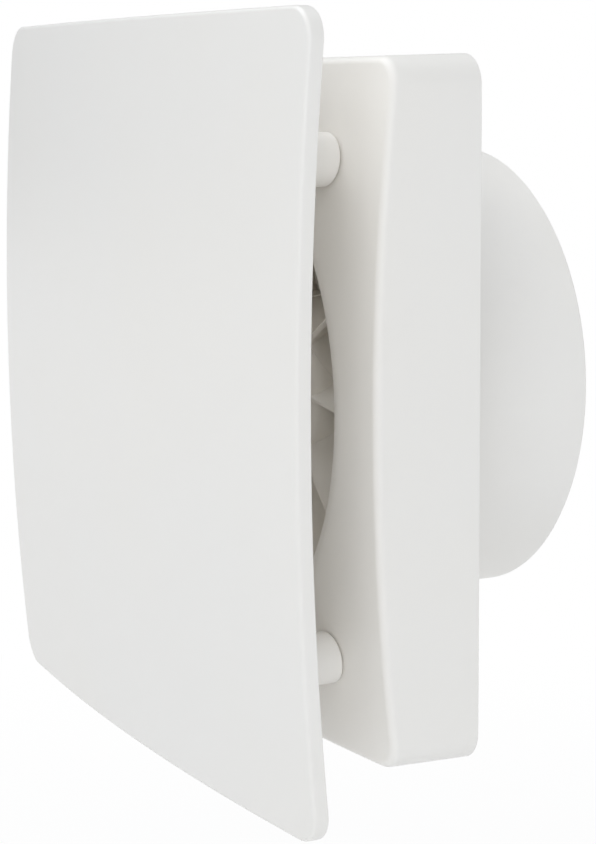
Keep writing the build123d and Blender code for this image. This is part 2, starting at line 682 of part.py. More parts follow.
def mounting_tray():
    """Tray with seats for the terminals, cord clamp, grommet, barrel screws and fascia."""
    tray = tray_pan()
    for side in (-1, 1):
        x = CLAMP_X + side * CLAMP_SCREW_X
        tray += rod(CLAMP_BOSS_R, CLAMP_SEAT, -PLATE_T / 2, x, CLAMP_Z)
        tray -= rod(CLAMP_SCREW_R + FIT, CLAMP_SEAT - PAST, -PLATE_T / 2, x, CLAMP_Z)
    for z in BLOCK_SCREWS:
        tray -= rod(BLOCK_SCREW_R + FIT, -PLATE_T - PAST, PAST, BLOCK_X, z)
    for angle in LUG_ANGLES:
        tray -= rod(LUG_SCREW_R + FIT, -PLATE_T - PAST, PAST, *polar(LUG_CENTRE_R, angle))
    tray -= rod(ENTRY_HOLE_R, -PLATE_T - PAST, PAST, ENTRY_X, ENTRY_Z)
    half_w = TONGUE_W / 2 + EASY_FIT
    half_t = TONGUE_T / 2 + EASY_FIT
    for x in (-TONGUE_X, TONGUE_X):
        slot_z = (TRAY_H / 2 - RIM_T - PAST, TRAY_H / 2 + PAST)
        tray -= box((x - half_w, x + half_w), (TONGUE_Y - half_t, TONGUE_Y + half_t), slot_z)
    pad_half = SCREW_PAD_HALF_W + EASY_FIT
    boss_front = SCREW_PAD_Y[0]
    tray -= box((-pad_half, pad_half), (boss_front - PAST, PAST), (-TRAY_H / 2 - PAST, BOSS_LOW))
    boss_x = (-SCREW_PAD_HALF_W, SCREW_PAD_HALF_W)
    tray += box(boss_x, (boss_front, 0), (BOSS_LOW, -SHROUD_OUT_R - EASY_FIT))
    tray -= upright(FASCIA_SCREW_R + FIT, BOSS_LOW - PAST, PILOT_TOP, y=FASCIA_SCREW_Y)
    return tray


def barrel_tube():
    """Shroud round the impeller, through the plate to the wall plane, and the thin spigot behind."""
    tube_body = turned(
        (SHROUD_R, SHROUD_FRONT),
        (SHROUD_OUT_R, SHROUD_FRONT),
        (SHROUD_OUT_R, 0),
        (SPIGOT_R, 0),
        (SPIGOT_R, SPIGOT_LENGTH),
        (SPIGOT_IN_R, SPIGOT_LENGTH),
        (SPIGOT_IN_R, SHROUD_BACK),
        (SHROUD_R, SHROUD_BACK),
    )
    tube_body = fillet(tube_body.edges().group_by(Axis.Y)[0], SHROUD_LIP_ROUND)
    end_rims = tube_body.edges().group_by(Axis.Y)[-1]
    return chamfer(max(end_rims, key=lambda edge: edge.radius), SPIGOT_CHAMFER)


def barrel_lug(angle):
    """Screw lug on the barrel's outside, standing on the tray's plate."""
    flange = Pos(LUG_CENTRE_R, 0) * Circle(LUG_R)
    flange += Pos(LUG_CENTRE_R - LUG_OFFSET / 2, 0) * Rectangle(LUG_OFFSET + ROOT, 2 * LUG_R)
    flange -= Circle(SHROUD_OUT_R - ROOT) + Pos(LUG_CENTRE_R, 0) * Circle(LUG_SCREW_R + SCREW_CLEARANCE)
    return spin(slab(flange, -PLATE_T - LUG_T, -PLATE_T), angle)


def snap_bump(angle):
    """Small catch inside the spigot that holds the damper cartridge."""
    front = SEAT_Y + SNAP_SETBACK
    reach = (SPIGOT_IN_R - SNAP_HEIGHT, SPIGOT_IN_R + SPIGOT_WALL / 2)
    bump = box(reach, (front, front + SNAP_T), (-SNAP_W / 2, SNAP_W / 2))
    return spin(bump, angle)


def lead_slot(z):
    """Channel for one motor lead through the shroud wall, open to the tray at its front end."""
    radius = LEAD_R + EASY_FIT
    x = -math.sqrt(LEAD_CHANNEL_R ** 2 - z ** 2)
    channel = rod(radius, POLE_Y - radius, VANE_LEAD_Y + radius, x, z)
    mouth_y = (POLE_Y - radius, POLE_Y + radius + LEAD_BEND / 2)
    return channel + box((-SHROUD_OUT_R - PAST, x), mouth_y, (z - radius, z + radius))


def duct_barrel():
    """Barrel with its four lugs, the damper's catches and the slots for the leads."""
    barrel = barrel_tube()
    for angle in LUG_ANGLES:
        barrel += barrel_lug(angle)
    for angle in SNAP_ANGLES:
        barrel += snap_bump(angle)
    for z in (-LEAD_Z, LEAD_Z):
        barrel -= lead_slot(z)
    return barrel


def pan_screw(radius, head_r, head_h, seat, tip, x, z):
    """Cross-head screw driven from the room side: the head sits on depth `seat`."""
    screw = rod(head_r, seat - head_h, seat, x, z)
    screw = fillet(screw.edges().group_by(Axis.Y)[0], min(head_h / 3, head_r / 4))
    screw += rod(radius, seat - head_h / 2, tip, x, z)
    span = CROSS_SLOT_SPAN * head_r
    slot_back = seat - head_h * (1 - CROSS_SLOT_DEPTH)
    for size in ((CROSS_SLOT_W, span), (span, CROSS_SLOT_W)):
        screw -= slab(Pos(x, z) * Rectangle(*size), seat - head_h - PAST, slot_back)
    return screw


def barrel_screws():
    """Screws through the barrel's lugs into the tray's plate."""
    seat = -PLATE_T - LUG_T
    places = [polar(LUG_CENTRE_R, angle) for angle in LUG_ANGLES]
    return [
        pan_screw(LUG_SCREW_R, CLAMP_SCREW_HEAD_R, CLAMP_SCREW_HEAD_H, seat, -EASY_FIT, x, z)
        for x, z in places
    ]


# ---------------------------------------------------------------- supply entry and terminals


def cable_grommet():
    """Rubber grommet in the tray's round cable entry, with a flange on the tray side."""
    sleeve_part = tube(ENTRY_HOLE_R - FIT, GROMMET_BORE_R, -PLATE_T, 0, ENTRY_X, ENTRY_Z)
    flange_front = -PLATE_T - GROMMET_FLANGE_T
    flange = tube(GROMMET_FLANGE_R, GROMMET_BORE_R, flange_front, -PLATE_T, ENTRY_X, ENTRY_Z)
    grommet = sleeve_part + flange
    outer = max(grommet.edges().group_by(Axis.Y)[0], key=lambda edge: edge.radius)
    return fillet(outer, GROMMET_ROUND)


def cord_clamp():
    """Bridge bar that presses the supply cord against the tray, on two screws."""
    low, high = CLAMP_Z - CLAMP_W / 2, CLAMP_Z + CLAMP_W / 2
    bar = box((CLAMP_X - CLAMP_HALF, CLAMP_X + CLAMP_HALF), (CLAMP_FRONT, CLAMP_SEAT), (low, high))
    bar = fillet(bar.edges().filter_by(Axis.Y), CLAMP_CORNER)
    for side in (-1, 1):
        x = CLAMP_X + side * CLAMP_TOOTH_X
        bar += upright(CLAMP_TOOTH_R, low + EASY_FIT, high - EASY_FIT, x, CLAMP_SEAT)
    for side in (-1, 1):
        x = CLAMP_X + side * CLAMP_SCREW_X
        bar -= rod(CLAMP_SCREW_R + SCREW_CLEARANCE, CLAMP_FRONT - PAST, 0, x, CLAMP_Z)
    return bar


def clamp_screws():
    """The two screws of the cord clamp."""
    tip = -PLATE_T / 2 - EASY_FIT
    return [
        pan_screw(CLAMP_SCREW_R, CLAMP_SCREW_HEAD_R, CLAMP_SCREW_HEAD_H, CLAMP_FRONT, tip, x, CLAMP_Z)
        for x in (CLAMP_X - CLAMP_SCREW_X, CLAMP_X + CLAMP_SCREW_X)
    ]


def terminal_block():
    """Three-pole block, bored for its brass inserts and open in front over each screw."""
    half = BLOCK_W / 2
    span_z = (BLOCK_Z - BLOCK_L / 2, BLOCK_Z + BLOCK_L / 2)
    block = box((BLOCK_X - half, BLOCK_X + half), (BLOCK_FRONT, -PLATE_T), span_z)
    block = fillet(block.edges().filter_by(Axis.Y), BLOCK_CORNER)
    above = BLOCK_FRONT - PAST
    for z in POLES:
        block -= crosswise(INSERT_R + FIT, BLOCK_X - half - PAST, BLOCK_X + half + PAST, POLE_Y, z)
        for x in (BLOCK_X - TERMINAL_SCREW_X, BLOCK_X + TERMINAL_SCREW_X):
            block -= rod(TERMINAL_SCREW_R + TERMINAL_WELL_GAP, above, POLE_Y, x, z)
    for z in BLOCK_SCREWS:
        block -= rod(BLOCK_SCREW_R + SCREW_CLEARANCE, above, 0, BLOCK_X, z)
        block -= rod(BLOCK_SCREW_HEAD_R + SCREW_CLEARANCE, above, BLOCK_SEAT, BLOCK_X, z)
    return block


def terminal_insert(z):
    """Brass barrel with two tapped holes for its screws."""
    half = BLOCK_W / 2 - INSERT_INSET
    barrel = crosswise(INSERT_R, BLOCK_X - half, BLOCK_X + half, POLE_Y, z)
    barrel -= crosswise(INSERT_BORE_R, BLOCK_X - half - PAST, BLOCK_X + half + PAST, POLE_Y, z)
    for x in (BLOCK_X - TERMINAL_SCREW_X, BLOCK_X + TERMINAL_SCREW_X):
        barrel -= rod(TERMINAL_SCREW_R + FIT, POLE_Y - INSERT_R - PAST, POLE_Y, x, z)
    return barrel


def terminal_inserts():
    """One brass barrel for each pole."""
    return [terminal_insert(z) for z in POLES]


def terminal_screws():
    """Slotted grub screws that grip the conductors in the inserts."""
    front = BLOCK_FRONT + TERMINAL_SCREW_RECESS
    tip = POLE_Y - LEAD_R - SMALL_GAP
    slot = Rectangle(3 * TERMINAL_SCREW_R, CROSS_SLOT_W)
    screws = []
    for z in POLES:
        for x in (BLOCK_X - TERMINAL_SCREW_X, BLOCK_X + TERMINAL_SCREW_X):
            cut = slab(Pos(x, z) * slot, front - PAST, front + TERMINAL_SCREW_R / 2)
            screws.append(rod(TERMINAL_SCREW_R, front, tip, x, z) - cut)
    return screws


def block_screws():
    """Screws that hold the terminal block to the tray."""
    return [
        pan_screw(BLOCK_SCREW_R, BLOCK_SCREW_HEAD_R, BLOCK_SCREW_HEAD_H, BLOCK_SEAT, -EASY_FIT, BLOCK_X, z)
        for z in BLOCK_SCREWS
    ]


# ---------------------------------------------------------------- motor carrier

VANE_ANGLES = [180 + 360 * step / VANE_COUNT for step in range(VANE_COUNT)]


def vane(angle, front, twist):
    """Flat guide vane from the pod to the ring, set a few degrees off the axis."""
    middle = ((POD_R + RING_R) / 2 - ROOT, (front + VANE_BACK) / 2, 0)
    blade = Rot(twist, 0, 0) * Box(RING_R - POD_R + 2 * ROOT, VANE_BACK - front, VANE_T)
    zone = tube(RING_R - ROOT, POD_IN_R + ROOT, front - PAST, VANE_BACK + PAST)
    return spin(Pos(*middle) * blade, angle) & zone


def motor_carrier():
    """Ring in the spigot, guide vanes, and the cup that holds the motor."""
    body = tube(RING_R, RING_R - RING_WALL, SHROUD_BACK + RING_GAP, FRAME_FRONT - RING_GAP)
    body += vane(VANE_ANGLES[0], LEAD_VANE_FRONT, 0)
    for angle in VANE_ANGLES[1:]:
        body += vane(angle, VANE_FRONT, VANE_TWIST)
    cup = rod(POD_R, POD_FRONT, POD_BACK)
    body += fillet(cup.edges().group_by(Axis.Y)[0], POD_EDGE_ROUND)
    body -= rod(POD_IN_R, PAD_FRONT, POD_BACK + PAST)
    body -= rod(BRACKET_BOSS_R + 2 * EASY_FIT, POD_FRONT - PAST, PAD_FRONT + PAST)
    for x in (-BOLT_X, BOLT_X):
        body -= rod(BOLT_R + SCREW_CLEARANCE, POD_FRONT - PAST, PAD_FRONT + PAST, x)
    lead_gap = LEAD_R + LEAD_Z + EASY_FIT
    for inner, outer in ((POD_IN_R - PAST, POD_R + PAST), (RING_R - RING_WALL - PAST, RING_R + PAST)):
        body -= box((-outer, -inner), (PAD_FRONT, LEAD_VANE_FRONT), (-lead_gap, lead_gap))
    return body


def motor_cap():
    """Vented cap that plugs the pod behind the motor."""
    plug_r = POD_IN_R - SMALL_GAP
    cap = rod(POD_R, POD_BACK, POD_BACK + CAP_T)
    cap = fillet(cap.edges().group_by(Axis.Y)[-1], CAP_ROUND)
    cap += tube(plug_r, plug_r - CAP_SKIRT_WALL, POD_BACK - CAP_SKIRT, POD_BACK + ASSEMBLY_GAP)
    for number in range(CAP_SLOT_COUNT):
        slot = Pos(POD_R * CAP_SLOT_SHARE, 0) * SlotOverall(CAP_SLOT_L, CAP_SLOT_W)
        turned_slot = Rot(0, 0, 360 * number / CAP_SLOT_COUNT) * slot
        cap -= slab(turned_slot, POD_BACK - PAST, POD_BACK + CAP_T + PAST)
    return cap


# ---------------------------------------------------------------- motor


def rubber_mounts():
    """Rubber washers between the pod's face and the motor's front bracket."""
    return [tube(MOUNT_PAD_R, BOLT_R + FIT, PAD_FRONT, PLATE_FRONT, x) for x in (-BOLT_X, BOLT_X)]


def bracket(plate_front, feet, boss):
    """Plate across the motor with a foot round each bolt and a bearing boss in the middle."""
    outline = Rectangle(2 * BOLT_X, 2 * BRACKET_END_R) + Circle(BRACKET_BOSS_R + BRACKET_WAIST_EXTRA)
    for x in (-BOLT_X, BOLT_X):
        outline += Pos(x, 0) * Circle(BRACKET_END_R)
    body = slab(outline, plate_front, plate_front + BRACKET_PLATE_T)
    body += rod(BRACKET_BOSS_R, *boss)
    front = min(plate_front, feet[0]) - PAST
    back = max(plate_front + BRACKET_PLATE_T, feet[1]) + PAST
    for x in (-BOLT_X, BOLT_X):
        body += rod(BRACKET_FOOT_R, *feet, x) - rod(BORE_R + EASY_FIT, feet[0], feet[1])
        body -= rod(BOLT_R + SMALL_GAP, front, back, x)
    return body - rod(BUSH_R + PRESS_FIT, boss[0] - PAST, boss[1] + PAST)


def front_bracket():
    """Bearing bracket on the impeller side."""
    return bracket(PLATE_FRONT, (FRONT_FEET, STACK_FRONT), (FRONT_BOSS_FRONT, FRONT_BOSS_BACK))


def rear_bracket():
    """Bearing bracket on the duct side."""
    return bracket(REAR_FEET, (STACK_BACK, REAR_FEET), (REAR_BOSS_FRONT, REAR_BOSS_BACK))


def bush(front, back):
    """Sintered bush with chamfered ends and a running fit on the shaft."""
    body = tube(BUSH_R, SHAFT_R + FIT, front, back)
    circles = body.edges().filter_by(GeomType.CIRCLE)
    return chamfer([edge for edge in circles if edge.radius > SHAFT_R + BUSH_WALL / 2], BUSH_CHAMFER)


def front_bush():
    """Bush in the front bracket."""
    return bush(FRONT_BOSS_FRONT, FRONT_BOSS_BACK)


def rear_bush():
    """Bush in the rear bracket."""
    return bush(REAR_BOSS_FRONT, REAR_BOSS_BACK)


def shaft_spacers():
    """Nylon spacers on the shaft between the rotor and the two bushes."""
    bore = SHAFT_R + PRESS_FIT
    front = tube(SPACER_R, bore, FRONT_BOSS_BACK + SMALL_GAP, ROTOR_FRONT)
    rear = tube(SPACER_R, bore, ROTOR_BACK, REAR_BOSS_FRONT - SMALL_GAP)
    return [front, rear]


def shaft():
    """Ground steel shaft through both bushes, rotor and impeller."""
    body = rod(SHAFT_R, SHAFT_FRONT, SHAFT_BACK)
    return chamfer(body.edges().filter_by(GeomType.CIRCLE), SHAFT_CHAMFER)


def shading_places():
    """Pairs of hole centres for the four shading rings, mirrored left to right and top to bottom."""
    radius = BORE_R + SHADING_FROM_BORE
    pair = [polar(radius, angle) for angle in SHADING_ANGLES]
    return [[(sx * x, sz * z) for x, z in pair] for sx in (-1, 1) for sz in (-1, 1)]


def stator_core():
    """Laminated C-frame: rotor bore, coil window, bolt holes and shading-ring holes."""
    height = STACK_TOP - STACK_BOTTOM
    outline = Pos(0, (STACK_TOP + STACK_BOTTOM) / 2) * rounded(2 * STACK_HALF_W, height, STACK_CORNER)
    outline -= Circle(BORE_R)
    outline -= Pos(0, (WINDOW_TOP + WINDOW_BOTTOM) / 2) * Rectangle(2 * WINDOW_HALF_W, WINDOW_H)
    for x in (-BOLT_X, BOLT_X):
        outline -= Pos(x, 0) * Circle(BOLT_R + SMALL_GAP)
    for pair in shading_places():
        for x, z in pair:
            outline -= Pos(x, z) * Circle(SHADING_HOLE_R)
    return slab(outline, STACK_FRONT, STACK_BACK)


def shading_ring(pair):
    """Closed copper loop through two holes of the stator."""
    (x1, z1), (x2, z2) = pair
    over = SHADING_WIRE_R + ASSEMBLY_GAP
    front = STACK_FRONT - over
    back = STACK_BACK + over
    turns = [(x1, front, z1), (x2, front, z2), (x2, back, z2), (x1, back, z1)]
    pieces = []
    for start, end in zip(turns, turns[1:] + turns[:1]):
        run = Vector(*end) - Vector(*start)
        plane = Plane(origin=start, z_dir=run)
        pieces.append(extrude(plane * Circle(SHADING_WIRE_R), amount=run.length))
        pieces.append(Pos(*start) * Sphere(SHADING_WIRE_R))
    return joined(pieces)


def shading_rings():
    """The stator's four shading rings."""
    return [shading_ring(pair) for pair in shading_places()]


COIL_MID_Z = (STACK_BOTTOM + WINDOW_BOTTOM) / 2
COIL_PIN_Y = STACK_FRONT - COIL_PIN_FORWARD
COIL_PIN_Z = (COIL_MID_Z + COIL_PIN_UP, COIL_MID_Z - COIL_PIN_DOWN)
COIL_PIN_LEFT = -BOBBIN_HALF_L - COIL_PIN_L


def sleeve(half_length, grow_in, grow_out):
    """Rectangular sleeve round the stator's lower leg."""
    deep = STACK_LENGTH + 2 * COIL_GAP
    high = COIL_LEG + 2 * COIL_GAP
    outer = Box(2 * half_length, deep + 2 * grow_out, high + 2 * grow_out)
    inner = Box(2 * half_length + PAST, deep + 2 * grow_in, high + 2 * grow_in)
    outer = fillet(outer.edges().filter_by(Axis.X), COIL_GAP + grow_out / 2)
    return Pos(0, CORE_MID_Y, COIL_MID_Z) * (outer - inner)


def coil_bobbin():
    """Nylon bobbin: a sleeve on the lower leg with a flange at each end."""
    body = sleeve(BOBBIN_HALF_L, 0.0, BOBBIN_WALL)
    flange = sleeve(BOBBIN_WALL / 2, 0.0, BOBBIN_WALL + WINDING_T + BOBBIN_FLANGE_OVER)
    for side in (-1, 1):
        body += Pos(side * (BOBBIN_HALF_L - BOBBIN_WALL / 2), 0, 0) * flange
    return body


def coil_pins():
    """Tinned pins on the bobbin's left flange, where the leads are soldered."""
    return [crosswise(COIL_PIN_R, COIL_PIN_LEFT, -BOBBIN_HALF_L, COIL_PIN_Y, z) for z in COIL_PIN_Z]


def coil_winding():
    """Copper winding under its tape, between the bobbin's flanges."""
    return sleeve(BOBBIN_HALF_L - BOBBIN_WALL - FIT, BOBBIN_WALL + PRESS_FIT, BOBBIN_WALL + WINDING_T)


def bar_places():
    """Centres of the cage bars round the rotor."""
    radius = ROTOR_R - BAR_R - BAR_INSET
    return [polar(radius, 360 * number / BAR_COUNT) for number in range(BAR_COUNT)]


def rotor_core():
    """Laminated rotor with a round slot for each cage bar."""
    outline = Circle(ROTOR_R) - Circle(SHAFT_R + PRESS_FIT)
    for x, z in bar_places():
        outline -= Pos(x, z) * Circle(BAR_R + PRESS_FIT)
    return slab(outline, ROTOR_FRONT, ROTOR_BACK)


def rotor_cage():
    """Die-cast aluminium cage: two end rings joined by the bars."""
    outer = ROTOR_R - CAGE_RING_INSET
    inner = outer - CAGE_RING_W
    cage = tube(outer, inner, ROTOR_FRONT - CAGE_RING_L, ROTOR_FRONT)
    cage += tube(outer, inner, ROTOR_BACK, ROTOR_BACK + CAGE_RING_L)
    for x, z in bar_places():
        cage += rod(BAR_R, ROTOR_FRONT - ROOT, ROTOR_BACK + ROOT, x, z)
    return cage


def motor_bolts():
    """Long screws that clamp brackets and stack to the pod, heads at the duct side."""
    head_back = REAR_PLATE_BACK + BOLT_HEAD_H
    bolts = []
    for x in (-BOLT_X, BOLT_X):
        bolt = rod(BOLT_R, POD_FRONT - NUT_H - BOLT_TIP, REAR_PLATE_BACK + ROOT, x)
        head = rod(BOLT_HEAD_R, REAR_PLATE_BACK, head_back, x)
        head = fillet(head.edges().group_by(Axis.Y)[-1], BOLT_HEAD_H / 4)
        slot = Pos(x, 0) * Rectangle(BOLT_SLOT_W, 2 * BOLT_HEAD_R)
        bolts.append(bolt + head - slab(slot, head_back - BOLT_HEAD_H / 2, head_back + PAST))
    return bolts


def motor_nuts():
    """Hexagon nuts on the impeller side of the pod's face."""
    outline = RegularPolygon(NUT_R, 6, rotation=30) - Circle(BOLT_R + FIT)
    return [slab(Pos(x, 0) * outline, POD_FRONT - NUT_H, POD_FRONT) for x in (-BOLT_X, BOLT_X)]


def motor_lead(z, pole_z, pin_z):
    """One insulated lead: terminal, shroud channel, along the vane, coil pin."""
    channel_x = -math.sqrt(LEAD_CHANNEL_R ** 2 - z ** 2)
    points = [(BLOCK_X + LEAD_IN_BLOCK, POLE_Y, pole_z)]
    if abs(pole_z - z) > LEAD_BEND:
        turn_x = BLOCK_X + BLOCK_W / 2 + LEAD_TURN_GAP
        points += [(turn_x, POLE_Y, pole_z), (turn_x, POLE_Y, z)]
    points += [(channel_x, POLE_Y, z), (channel_x, VANE_LEAD_Y, z)]
    end_x = COIL_PIN_LEFT - FIT
    points += [(-POD_IN_R + 2 * LEAD_BEND, VANE_LEAD_Y, z)]
    points += [(end_x - 1.5 * LEAD_BEND, COIL_PIN_Y, pin_z), (end_x, COIL_PIN_Y, pin_z)]
    path = FilletPolyline(*points, radius=LEAD_BEND)
    start = Plane(origin=points[0], z_dir=Vector(*points[1]) - Vector(*points[0]))
    return sweep(start * Circle(LEAD_R), path=path)


def motor_leads():
    """Live and neutral leads."""
    lower = motor_lead(-LEAD_Z, POLES[0], COIL_PIN_Z[1])
    upper = motor_lead(LEAD_Z, POLES[1], COIL_PIN_Z[0])
    return [lower, upper]


# ---------------------------------------------------------------- impeller


def blade_section(radius):
    """Thin cambered strip seen along the radius: local x runs round the axis, local y along depth."""
    share = (radius - HUB_R) / (TIP_R - HUB_R)
    front = HUB_FRONT + BLADE_FRONT_SETBACK * (1 - share) + BLADE_TIP_FRONT_SETBACK * share
    back = HUB_BACK - BLADE_BACK_SETBACK * (1 - share) - BLADE_TIP_BACK_SETBACK * share
    start = Vector(-radius * math.tan(math.radians(BLADE_LEAD_ANGLE)), front)
    end = Vector(radius * math.tan(math.radians(BLADE_TRAIL_ANGLE)), back)
    chord = end - start
    across = Vector(-chord.Y, chord.X) / chord.length
    bulge = (start + end) / 2 + across * BLADE_CAMBER
    half = across * (BLADE_T / 2)
    upper = ThreePointArc(start + half, bulge + half, end + half)
    lower = ThreePointArc(end - half, bulge - half, start - half)
    nose = Line(start - half, start + half)
    tail = Line(end + half, end - half)
    plane = Plane(origin=(radius, 0, 0), x_dir=(0, 0, 1), z_dir=(-1, 0, 0))
    return plane * make_face([upper, tail, lower, nose])


def blade():
    """One swept blade, from inside the hub's wall to the tip radius."""
    stations = (HUB_R - HUB_WALL, (HUB_R + TIP_R) / 2, TIP_R + PAST)
    body = loft([blade_section(radius) for radius in stations])
    return body & tube(TIP_R, HUB_R - HUB_WALL / 2, HUB_FRONT - PAST, HUB_BACK + PAST)


def impeller():
    """Hub cup with its shaft sleeve and ribs, and the swept blades."""
    hub = rod(HUB_R, HUB_FRONT, HUB_BACK)
    hub = fillet(hub.edges().group_by(Axis.Y)[0], HUB_ROUND)
    one_blade = blade()
    for number in range(BLADE_COUNT):
        hub += spin(one_blade, BLADE_FIRST_ANGLE + BLADE_LEAD_ANGLE + 360 * number / BLADE_COUNT)
    face_back = HUB_FRONT + HUB_FACE_T
    hub -= rod(HUB_R - HUB_WALL, face_back, HUB_BACK + PAST)
    middle = rod(HUB_SLEEVE_R, face_back - ROOT, HUB_BACK - HUB_SLEEVE_SHORT)
    rib_y = (face_back - ROOT, POD_FRONT - NUT_H - HUB_RIB_NUT_GAP)
    rib = box((0, HUB_R - HUB_WALL / 2), rib_y, (-HUB_RIB_T / 2, HUB_RIB_T / 2))
    for number in range(HUB_RIB_COUNT):
        middle += spin(rib, 360 * number / HUB_RIB_COUNT)
    hub += middle
    return hub - rod(SHAFT_R + PRESS_FIT, HUB_FRONT - PAST, HUB_BACK + PAST)


def impeller_clip():
    """Push-on spring washer that keeps the impeller on the shaft."""
    clip = tube(CLIP_R, SHAFT_R + PRESS_FIT, HUB_FRONT - CLIP_T, HUB_FRONT)
    notch = Pos(SHAFT_R + CLIP_NOTCH_L / 2 - ASSEMBLY_GAP, 0) * Rectangle(CLIP_NOTCH_L, CLIP_NOTCH_W)
    for angle in range(0, 360, 60):
        clip -= slab(Rot(0, 0, angle) * notch, HUB_FRONT - CLIP_T - PAST, HUB_FRONT + PAST)
    return clip


# ---------------------------------------------------------------- backdraft damper


def spring_anchor(side, radius, front, back):
    """Round bar along Y where one spring's fixed leg stands in the seat bar."""
    return rod(radius, front, back, side * (PIN_X - SPRING_COIL_R), -SPRING_HALF)


def damper_frame():
    """Cartridge ring with an upright seat bar, and twin bearing bosses at top and bottom."""
    body = tube(RING_R, SEAT_R, FRAME_FRONT, SEAT_Y)
    bar_y = (POD_BACK + CAP_T + EASY_FIT, SEAT_Y)
    body += box((-SEAT_BAR_HALF, SEAT_BAR_HALF), bar_y, (-SEAT_R - ROOT, SEAT_R + ROOT))
    zone = rod(RING_R, FRAME_FRONT, PIN_Y + PIN_BOSS_R + PAST)
    web_half = PIN_X + PIN_BOSS_R
    for end in (-1, 1):
        span = (end * PIN_BOSS_INNER_Z, end * RING_R)
        boss = box((-web_half, web_half), (SEAT_Y - ROOT, PIN_Y), span)
        for x in (-PIN_X, PIN_X):
            boss += upright(PIN_BOSS_R, *span, x, PIN_Y)
        body += boss & zone
    for side in (-1, 1):
        body -= upright(PIN_R + PRESS_FIT, -RING_R - PAST, RING_R + PAST, side * PIN_X, PIN_Y)
        body -= spring_anchor(side, SPRING_WIRE_R + SMALL_GAP, FRAME_FRONT - PAST, SEAT_Y + PAST)
    return body


def damper_pins():
    """Two steel hinge pins side by side across the outlet."""
    half = math.sqrt((RING_R - SMALL_GAP) ** 2 - (PIN_X + PIN_R) ** 2)
    pins = [upright(PIN_R, -half, half, x, PIN_Y) for x in (-PIN_X, PIN_X)]
    return [chamfer(pin.edges().filter_by(GeomType.CIRCLE), PIN_R / 4) for pin in pins]


def flap_plate(side):
    """Half-round plate that starts at the pin, notched for the spring and the pin bosses."""
    depth = (FLAP_FRONT - PAST, FLAP_BACK + PAST)
    plate = rod(FLAP_R, FLAP_FRONT, FLAP_BACK)
    plate &= box((side * PIN_X, side * 2 * FLAP_R), depth, (-FLAP_R, FLAP_R))
    spring_x = (0, side * (PIN_X + KNUCKLE_R + FLAP_NOTCH_GAP))
    spring_half = SPRING_HALF + SPRING_WIRE_R + FLAP_NOTCH_GAP
    plate -= box(spring_x, depth, (-spring_half, spring_half))
    boss_x = (0, side * (PIN_X + PIN_BOSS_R + 3 * FLAP_NOTCH_GAP))
    for end in (-1, 1):
        plate -= box(boss_x, depth, (end * (PIN_BOSS_INNER_Z - FLAP_NOTCH_GAP), end * FLAP_R))
    return plate


def flap(side):
    """Flap on its two knuckles, with three stiffening ribs."""
    body = flap_plate(side)
    for end in (-1, 1):
        span = (end * KNUCKLE_FIRST_Z, end * (KNUCKLE_FIRST_Z + KNUCKLE_LENGTH))
        body += upright(KNUCKLE_R, *span, side * PIN_X, PIN_Y)
        body += box((side * PIN_X, side * (PIN_X + KNUCKLE_R)), (FLAP_FRONT, PIN_Y), span)
    for z in (-FLAP_RIB_Z, 0, FLAP_RIB_Z):
        reach = math.sqrt(FLAP_R ** 2 - z ** 2) - FLAP_RIB_END_GAP
        rib_y = (FLAP_BACK - FLAP_T / 4, FLAP_BACK + FLAP_RIB_H)
        body += box((side * FLAP_RIB_START, side * reach), rib_y, (z - FLAP_RIB_W / 2, z + FLAP_RIB_W / 2))
    return body - upright(PIN_R + FIT, -FLAP_R, FLAP_R, side * PIN_X, PIN_Y)


def damper_flap_left():
    """Flap on the left pin."""
    return flap(-1)


def damper_flap_right():
    """Flap on the right pin."""
    return flap(1)


def spring(side):
    """Torsion spring on one pin: one leg lies on the flap, the other stands in the seat bar."""
    helix = Helix(pitch=SPRING_PITCH, height=2 * SPRING_HALF, radius=SPRING_COIL_R)
    section = Plane(origin=helix @ 0, z_dir=helix % 0) * Circle(SPRING_WIRE_R)
    coil = Pos(side * PIN_X, PIN_Y, -SPRING_HALF) * sweep(section, path=helix, is_frenet=True)
    leg_y = FLAP_BACK + SPRING_WIRE_R + SMALL_GAP
    offset = math.sqrt(SPRING_COIL_R ** 2 - (PIN_Y - leg_y) ** 2)
    flap_leg = crosswise(SPRING_WIRE_R, side * (PIN_X + offset), side * SPRING_LEG, leg_y, SPRING_HALF)
    fixed_leg = spring_anchor(side, SPRING_WIRE_R, SEAT_Y - SPRING_ANCHOR, PIN_Y)
    return [coil, flap_leg, fixed_leg]


def damper_spring_left():
    """Spring of the left flap."""
    return spring(-1)


def damper_spring_right():
    """Spring of the right flap."""
    return spring(1)


NODES = (
    front_panel,
    panel_posts,
    post_rings,
    fascia,
    fascia_screw,
    mounting_tray,
    duct_barrel,
    barrel_screws,
    cable_grommet,
    cord_clamp,
    clamp_screws,
    terminal_block,
    terminal_inserts,
    terminal_screws,
    block_screws,
    motor_carrier,
    motor_cap,
    rubber_mounts,
    front_bracket,
    rear_bracket,
    front_bush,
    rear_bush,
    stator_core,
    shading_rings,
    coil_bobbin,
    coil_winding,
    coil_pins,
    motor_bolts,
    motor_nuts,
    motor_leads,
    shaft,
    shaft_spacers,
    rotor_core,
    rotor_cage,
    impeller,
    impeller_clip,
    damper_frame,
    damper_pins,
    damper_flap_left,
    damper_flap_right,
    damper_spring_left,
    damper_spring_right,
)

os.makedirs("parts", exist_ok=True)
for make in NODES:
    export(make.__name__, make())
    print("wrote", make.__name__)
print("spigot length", round(SPIGOT_LENGTH, 3), "pin depth", round(PIN_Y, 3))
